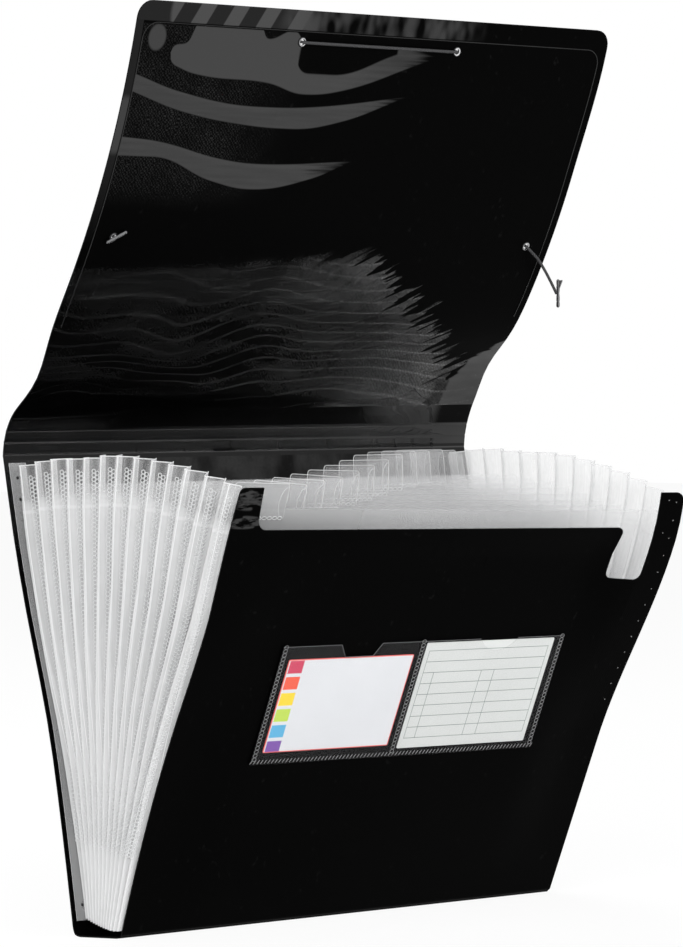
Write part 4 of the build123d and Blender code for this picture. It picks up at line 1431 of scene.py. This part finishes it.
# The flange's faces take the dark copy of the nickel, a painted shade.
FLANGE_FACES = range(4, 13)
for name, (x, run) in eyelets.items():
    across, up = radial(FLAP_TILT - (FLAP_TILT - FLAP_END_TILT) * run / FLAP_LENGTH)
    middle, rise, out = flap_place(x, run), Vector((0.0, -up, across)), Vector((0.0, -across, -up))
    mesh = lathe(f"{name}_ring", ring_profile,
                 lambda a, b, lift: middle + Vector((a, 0.0, 0.0)) + rise * b + out * lift)
    mesh.materials.append(eyelet_metal)
    mesh.materials.append(eyelet_shaded_flange)
    for polygon in mesh.polygons:
        polygon.material_index = int(polygon.index % len(ring_profile) in FLANGE_FACES)
    settle(mesh, "flap", "eyelet_metal", (name,))

# Elastic: one cord laced through the eyelets, a bar on each end
near_eyelet = 6 * CORD_DIAMETER


def toward(start, goal, lift):
    """A point on the run between two eyelets, six diameters from the first."""
    share = near_eyelet / math.hypot(goal[0] - start[0], goal[1] - start[1])
    return flap_place(start[0] + (goal[0] - start[0]) * share, start[1] + (goal[1] - start[1]) * share, lift)


side_left, end_left, end_right, side_right = eyelets.values()
tail_start = flap_place(*side_right, CORD_LIFT)
cord_route = [
    flap_place(*side_left, CORD_END_LIFT), flap_place(*side_left, -CORD_LIFT),
    toward(side_left, end_left, -CORD_LIFT), toward(end_left, side_left, -CORD_LIFT),
    flap_place(*end_left, -CORD_LIFT), flap_place(*end_left, CORD_LIFT),
    toward(end_left, end_right, CORD_LIFT), toward(end_right, end_left, CORD_LIFT),
    flap_place(*end_right, CORD_LIFT), flap_place(*end_right, -CORD_LIFT),
    toward(end_right, side_right, -CORD_LIFT), toward(side_right, end_right, -CORD_LIFT),
    flap_place(*side_right, -CORD_LIFT), tail_start,
    tail_start + Vector((11.0, -1.3, -9.5)), tail_start + Vector((26.8, 4.2, -25.2)),
]
route = bpy.data.curves.new("elastic_route", "CURVE")
route.dimensions = "3D"
spline = route.splines.new("NURBS")
spline.points.add(len(cord_route) - 1)
for knot, point in zip(spline.points, cord_route):
    knot.co = (*(point * MM), 1.0)
spline.order_u = 3
spline.use_endpoint_u = True
spline.resolution_u = 12
route_object = bpy.data.objects.new("elastic_route", route)
bpy.context.scene.collection.objects.link(route_object)
graph = bpy.context.evaluated_depsgraph_get()
route_mesh = bpy.data.meshes.new_from_object(route_object.evaluated_get(graph), depsgraph=graph)
cord_path = [vert.co.copy() for vert in route_mesh.vertices]
bpy.data.objects.remove(route_object)
bpy.data.meshes.remove(route_mesh)


def tube_faces(rings, sides):
    """Faces round a tube made of rings of points, with a cap on each end."""
    faces = []
    for index in range(rings - 1):
        for step in range(sides):
            a, b = index * sides + step, index * sides + (step + 1) % sides
            faces.append([a, b, b + sides, a + sides])
    last = (rings - 1) * sides
    return faces + [list(range(sides))[::-1], list(range(last, last + sides))]


def tube(name, path, radius, finish, sides=12):
    """Round tube along a path, with turn and run on its map."""
    ahead, behind = path[1:] + path[-1:], path[:1] + path[:-1]
    tangents = [(after - before).normalized() for after, before in zip(ahead, behind)]
    normal = tangents[0].orthogonal().normalized()
    points, spots, travelled = [], [], 0.0
    for index, (spot, way) in enumerate(zip(path, tangents)):
        if index:
            normal.rotate(tangents[index - 1].rotation_difference(way))
            travelled += (spot - path[index - 1]).length
        other = way.cross(normal)
        for step in range(sides):
            turn = 2 * math.pi * step / sides
            points.append(spot + (normal * math.cos(turn) + other * math.sin(turn)) * radius)
            spots.append((turn, travelled / MM))
    mesh = bpy.data.meshes.new(name)
    mesh.from_pydata([tuple(point) for point in points], [], tube_faces(len(path), sides))
    mesh.materials.append(finish)
    chart = mesh.uv_layers.new(name="sheet")
    for polygon in mesh.polygons:
        polygon.use_smooth = len(polygon.vertices) == 4
        turns = [spots[mesh.loops[loop].vertex_index][0] for loop in polygon.loop_indices]
        for loop in polygon.loop_indices:
            turn, run = spots[mesh.loops[loop].vertex_index]
            chart.data[loop].uv = (turn + 2 * math.pi if max(turns) - turn > math.pi else turn, run)
    return mesh


cord = settle(tube("elastic_braid_cord", cord_path, CORD_DIAMETER / 2 * MM, elastic),
              "flap", "elastic", ("elastic_cord",))


def squarish(part):
    """A cosine or sine pushed out, so that a ring becomes a rounded square."""
    return math.copysign(abs(part) ** 0.7, part)


def bar_mesh(name, place, wing, length=BAR_LENGTH):
    """Stamped bar with round ends and a crimped waist, and a wing on one half where the strip was folded."""
    half, across, deep = length / 2, BAR_WIDTH / 2, BAR_SHEET / 2
    stations = []
    for step in range(33):
        along = -half + length * step / 32
        from_end = half - abs(along)
        swell = math.sqrt(max(0.02, 1 - max(0.0, 1 - from_end / across) ** 2))
        crimp = 1 - 0.22 * math.exp(-(along / 1.3) ** 2) - 0.16 * math.exp(-((abs(along) - 4.6) / 0.5) ** 2)
        stations.append((along, across * swell * crimp, deep * swell * crimp))
    sides = 12
    points = []
    for along, wide, thick in stations:
        for step in range(sides):
            turn = 2 * math.pi * step / sides
            points.append(place(along, wide * squarish(math.cos(turn)), thick * squarish(math.sin(turn))))
    faces = tube_faces(len(stations), sides)
    if wing:
        start = len(points)
        wing_outline = ((0.6, 0.0), (7.2, 0.2), (7.4, wing), (6.6, wing * 0.95))
        for thick in (-0.3, 0.3):
            points += [place(along, wide, thick) for along, wide in wing_outline]
        low, high = [start + i for i in range(4)], [start + 4 + i for i in range(4)]
        faces += [low[::-1], high]
        faces += [[low[i], low[(i + 1) % 4], high[(i + 1) % 4], high[i]] for i in range(4)]
    mesh = bpy.data.meshes.new(name)
    mesh.from_pydata([tuple(point * MM) for point in points], [], faces)
    face_out(mesh)
    mesh.set_sharp_from_angle(angle=math.radians(50.0))
    mesh.materials.append(bar_metal)
    return mesh


across, up = radial(FLAP_TILT - (FLAP_TILT - FLAP_END_TILT) * side_left[1] / FLAP_LENGTH)
left_rise, left_out = Vector((0.0, -up, across)), Vector((0.0, -across, -up))
left_middle = flap_place(*side_left, EYELET_FACE + EYELET_RIM + 0.15 + BAR_SHEET / 2)
turn_x, turn_y = radial(BAR_TURN)
left_along = Vector((turn_x, 0.0, 0.0)) + left_rise * turn_y
left_across = Vector((-turn_y, 0.0, 0.0)) + left_rise * turn_x
right_middle = cord_route[-1] + Vector((0.6 + BAR_SHEET / 2, 0.0, 0.0))
left_shift, left_shorter, right_wing = 1.2, 3.0, -3.4


def left_bar_place(along, across, lift):
    return left_middle + left_along * (along + left_shift) + left_across * across + left_out * lift


def right_bar_place(along, across, lift):
    return right_middle + Vector((lift, across, along))


settle(
    bar_mesh("bar_left_metal", left_bar_place, 0.0, BAR_LENGTH - left_shorter),
    "flap", "bar_metal", ("bar_left",),
)
bar_right = settle(
    bar_mesh("bar_right_metal", right_bar_place, right_wing),
    "flap", "bar_metal", ("bar_right",),
)
cord_length = sum((b - a).length for a, b in zip(cord_path, cord_path[1:]))
tuple(cord_path[0])
[tuple(point) for point in cord_path]

# Stage: pale floor, soft light, and the camera of the photograph
def seen_rays(paint):
    """1 for rays of the camera, off a gloss or through a film, 0 for those that only light the scene."""
    path = paint.node("ShaderNodeLightPath")
    seen = path
    for label in ("Is Glossy Ray", "Is Transmission Ray"):
        seen = seen.most(Term(paint, path.socket.node.outputs[label]))
    return seen


floor_paint = Paint("floor_white")
matt = floor_paint.node("ShaderNodeBsdfDiffuse", None, Color=(0.86, 0.86, 0.86))
bright = floor_paint.node("ShaderNodeEmission", None, Color=(1.0, 1.0, 1.0), Strength=1.0)
floor_paint.show(floor_paint.node("ShaderNodeMixShader", None, seen_rays(floor_paint) * 0.9, matt, bright))
floor_mesh = bpy.data.meshes.new("floor")
floor_size = 6.0
floor_mesh.from_pydata(
    [(-floor_size, -floor_size, 0.0), (floor_size, -floor_size, 0.0), (floor_size, floor_size, 0.0),
     (-floor_size, floor_size, 0.0)], [], [(0, 1, 2, 3)],
)
floor_mesh.materials.append(floor_paint.material)
floor = bpy.data.objects.new("floor", floor_mesh)
bpy.context.scene.collection.objects.link(floor)

sky = Paint("studio", bpy.data.worlds, "ShaderNodeOutputWorld")
level = sky.node("ShaderNodeMapRange", None, seen_rays(sky), To_Min=0.62, To_Max=1.0)
glow = sky.node("ShaderNodeBackground", None, Color=(1.0, 1.0, 1.0), Strength=level)
bpy.context.scene.world = sky.show(glow)


def lamp(name, place, aim, size, power):
    data = bpy.data.lights.new(name, "AREA")
    data.shape, data.size, data.energy = "DISK", size, power
    made = bpy.data.objects.new(name, data)
    made.location = place
    made.rotation_euler = (Vector(aim) - Vector(place)).to_track_quat("-Z", "Y").to_euler()
    made.visible_camera = False
    made.visible_glossy = False
    bpy.context.scene.collection.objects.link(made)


lamp("key", (-1.7, -1.2, 1.3), (0.0, 0.0, 0.2), 1.6, 40.0)
lamp("fill", (0.9, -1.9, 0.7), (0.0, 0.0, 0.2), 1.6, 20.0)
lamp("rim", (0.4, 1.2, 2.0), (0.0, 0.0, 0.25), 1.4, 20.0)

camera_data = bpy.data.cameras.new("camera")
camera = bpy.data.objects.new("camera", camera_data)
bpy.context.scene.collection.objects.link(camera)
bpy.context.scene.camera = camera
azimuth, elevation, distance = math.radians(-42.04), math.radians(1.5), 2.45435
target = Vector((0.00664, -0.00599, 0.23435))
level_reach = math.cos(elevation)
behind = Vector((math.sin(azimuth) * level_reach, -math.cos(azimuth) * level_reach, math.sin(elevation)))
camera.location = target + behind * distance
camera.rotation_mode = "QUATERNION"
camera.rotation_quaternion = (-behind).to_track_quat("-Z", "Y")
focal_pixels, frame_height = 4605.35, 947.0
camera_data.sensor_width = 36.0
camera_data.lens = focal_pixels * camera_data.sensor_width / frame_height
camera_data.clip_start, camera_data.clip_end = 0.01, 100.0

bpy.context.scene.view_settings.view_transform = "Standard"
bpy.context.scene.cycles.transparent_max_bounces = 96
bpy.context.scene.cycles.max_bounces = 16
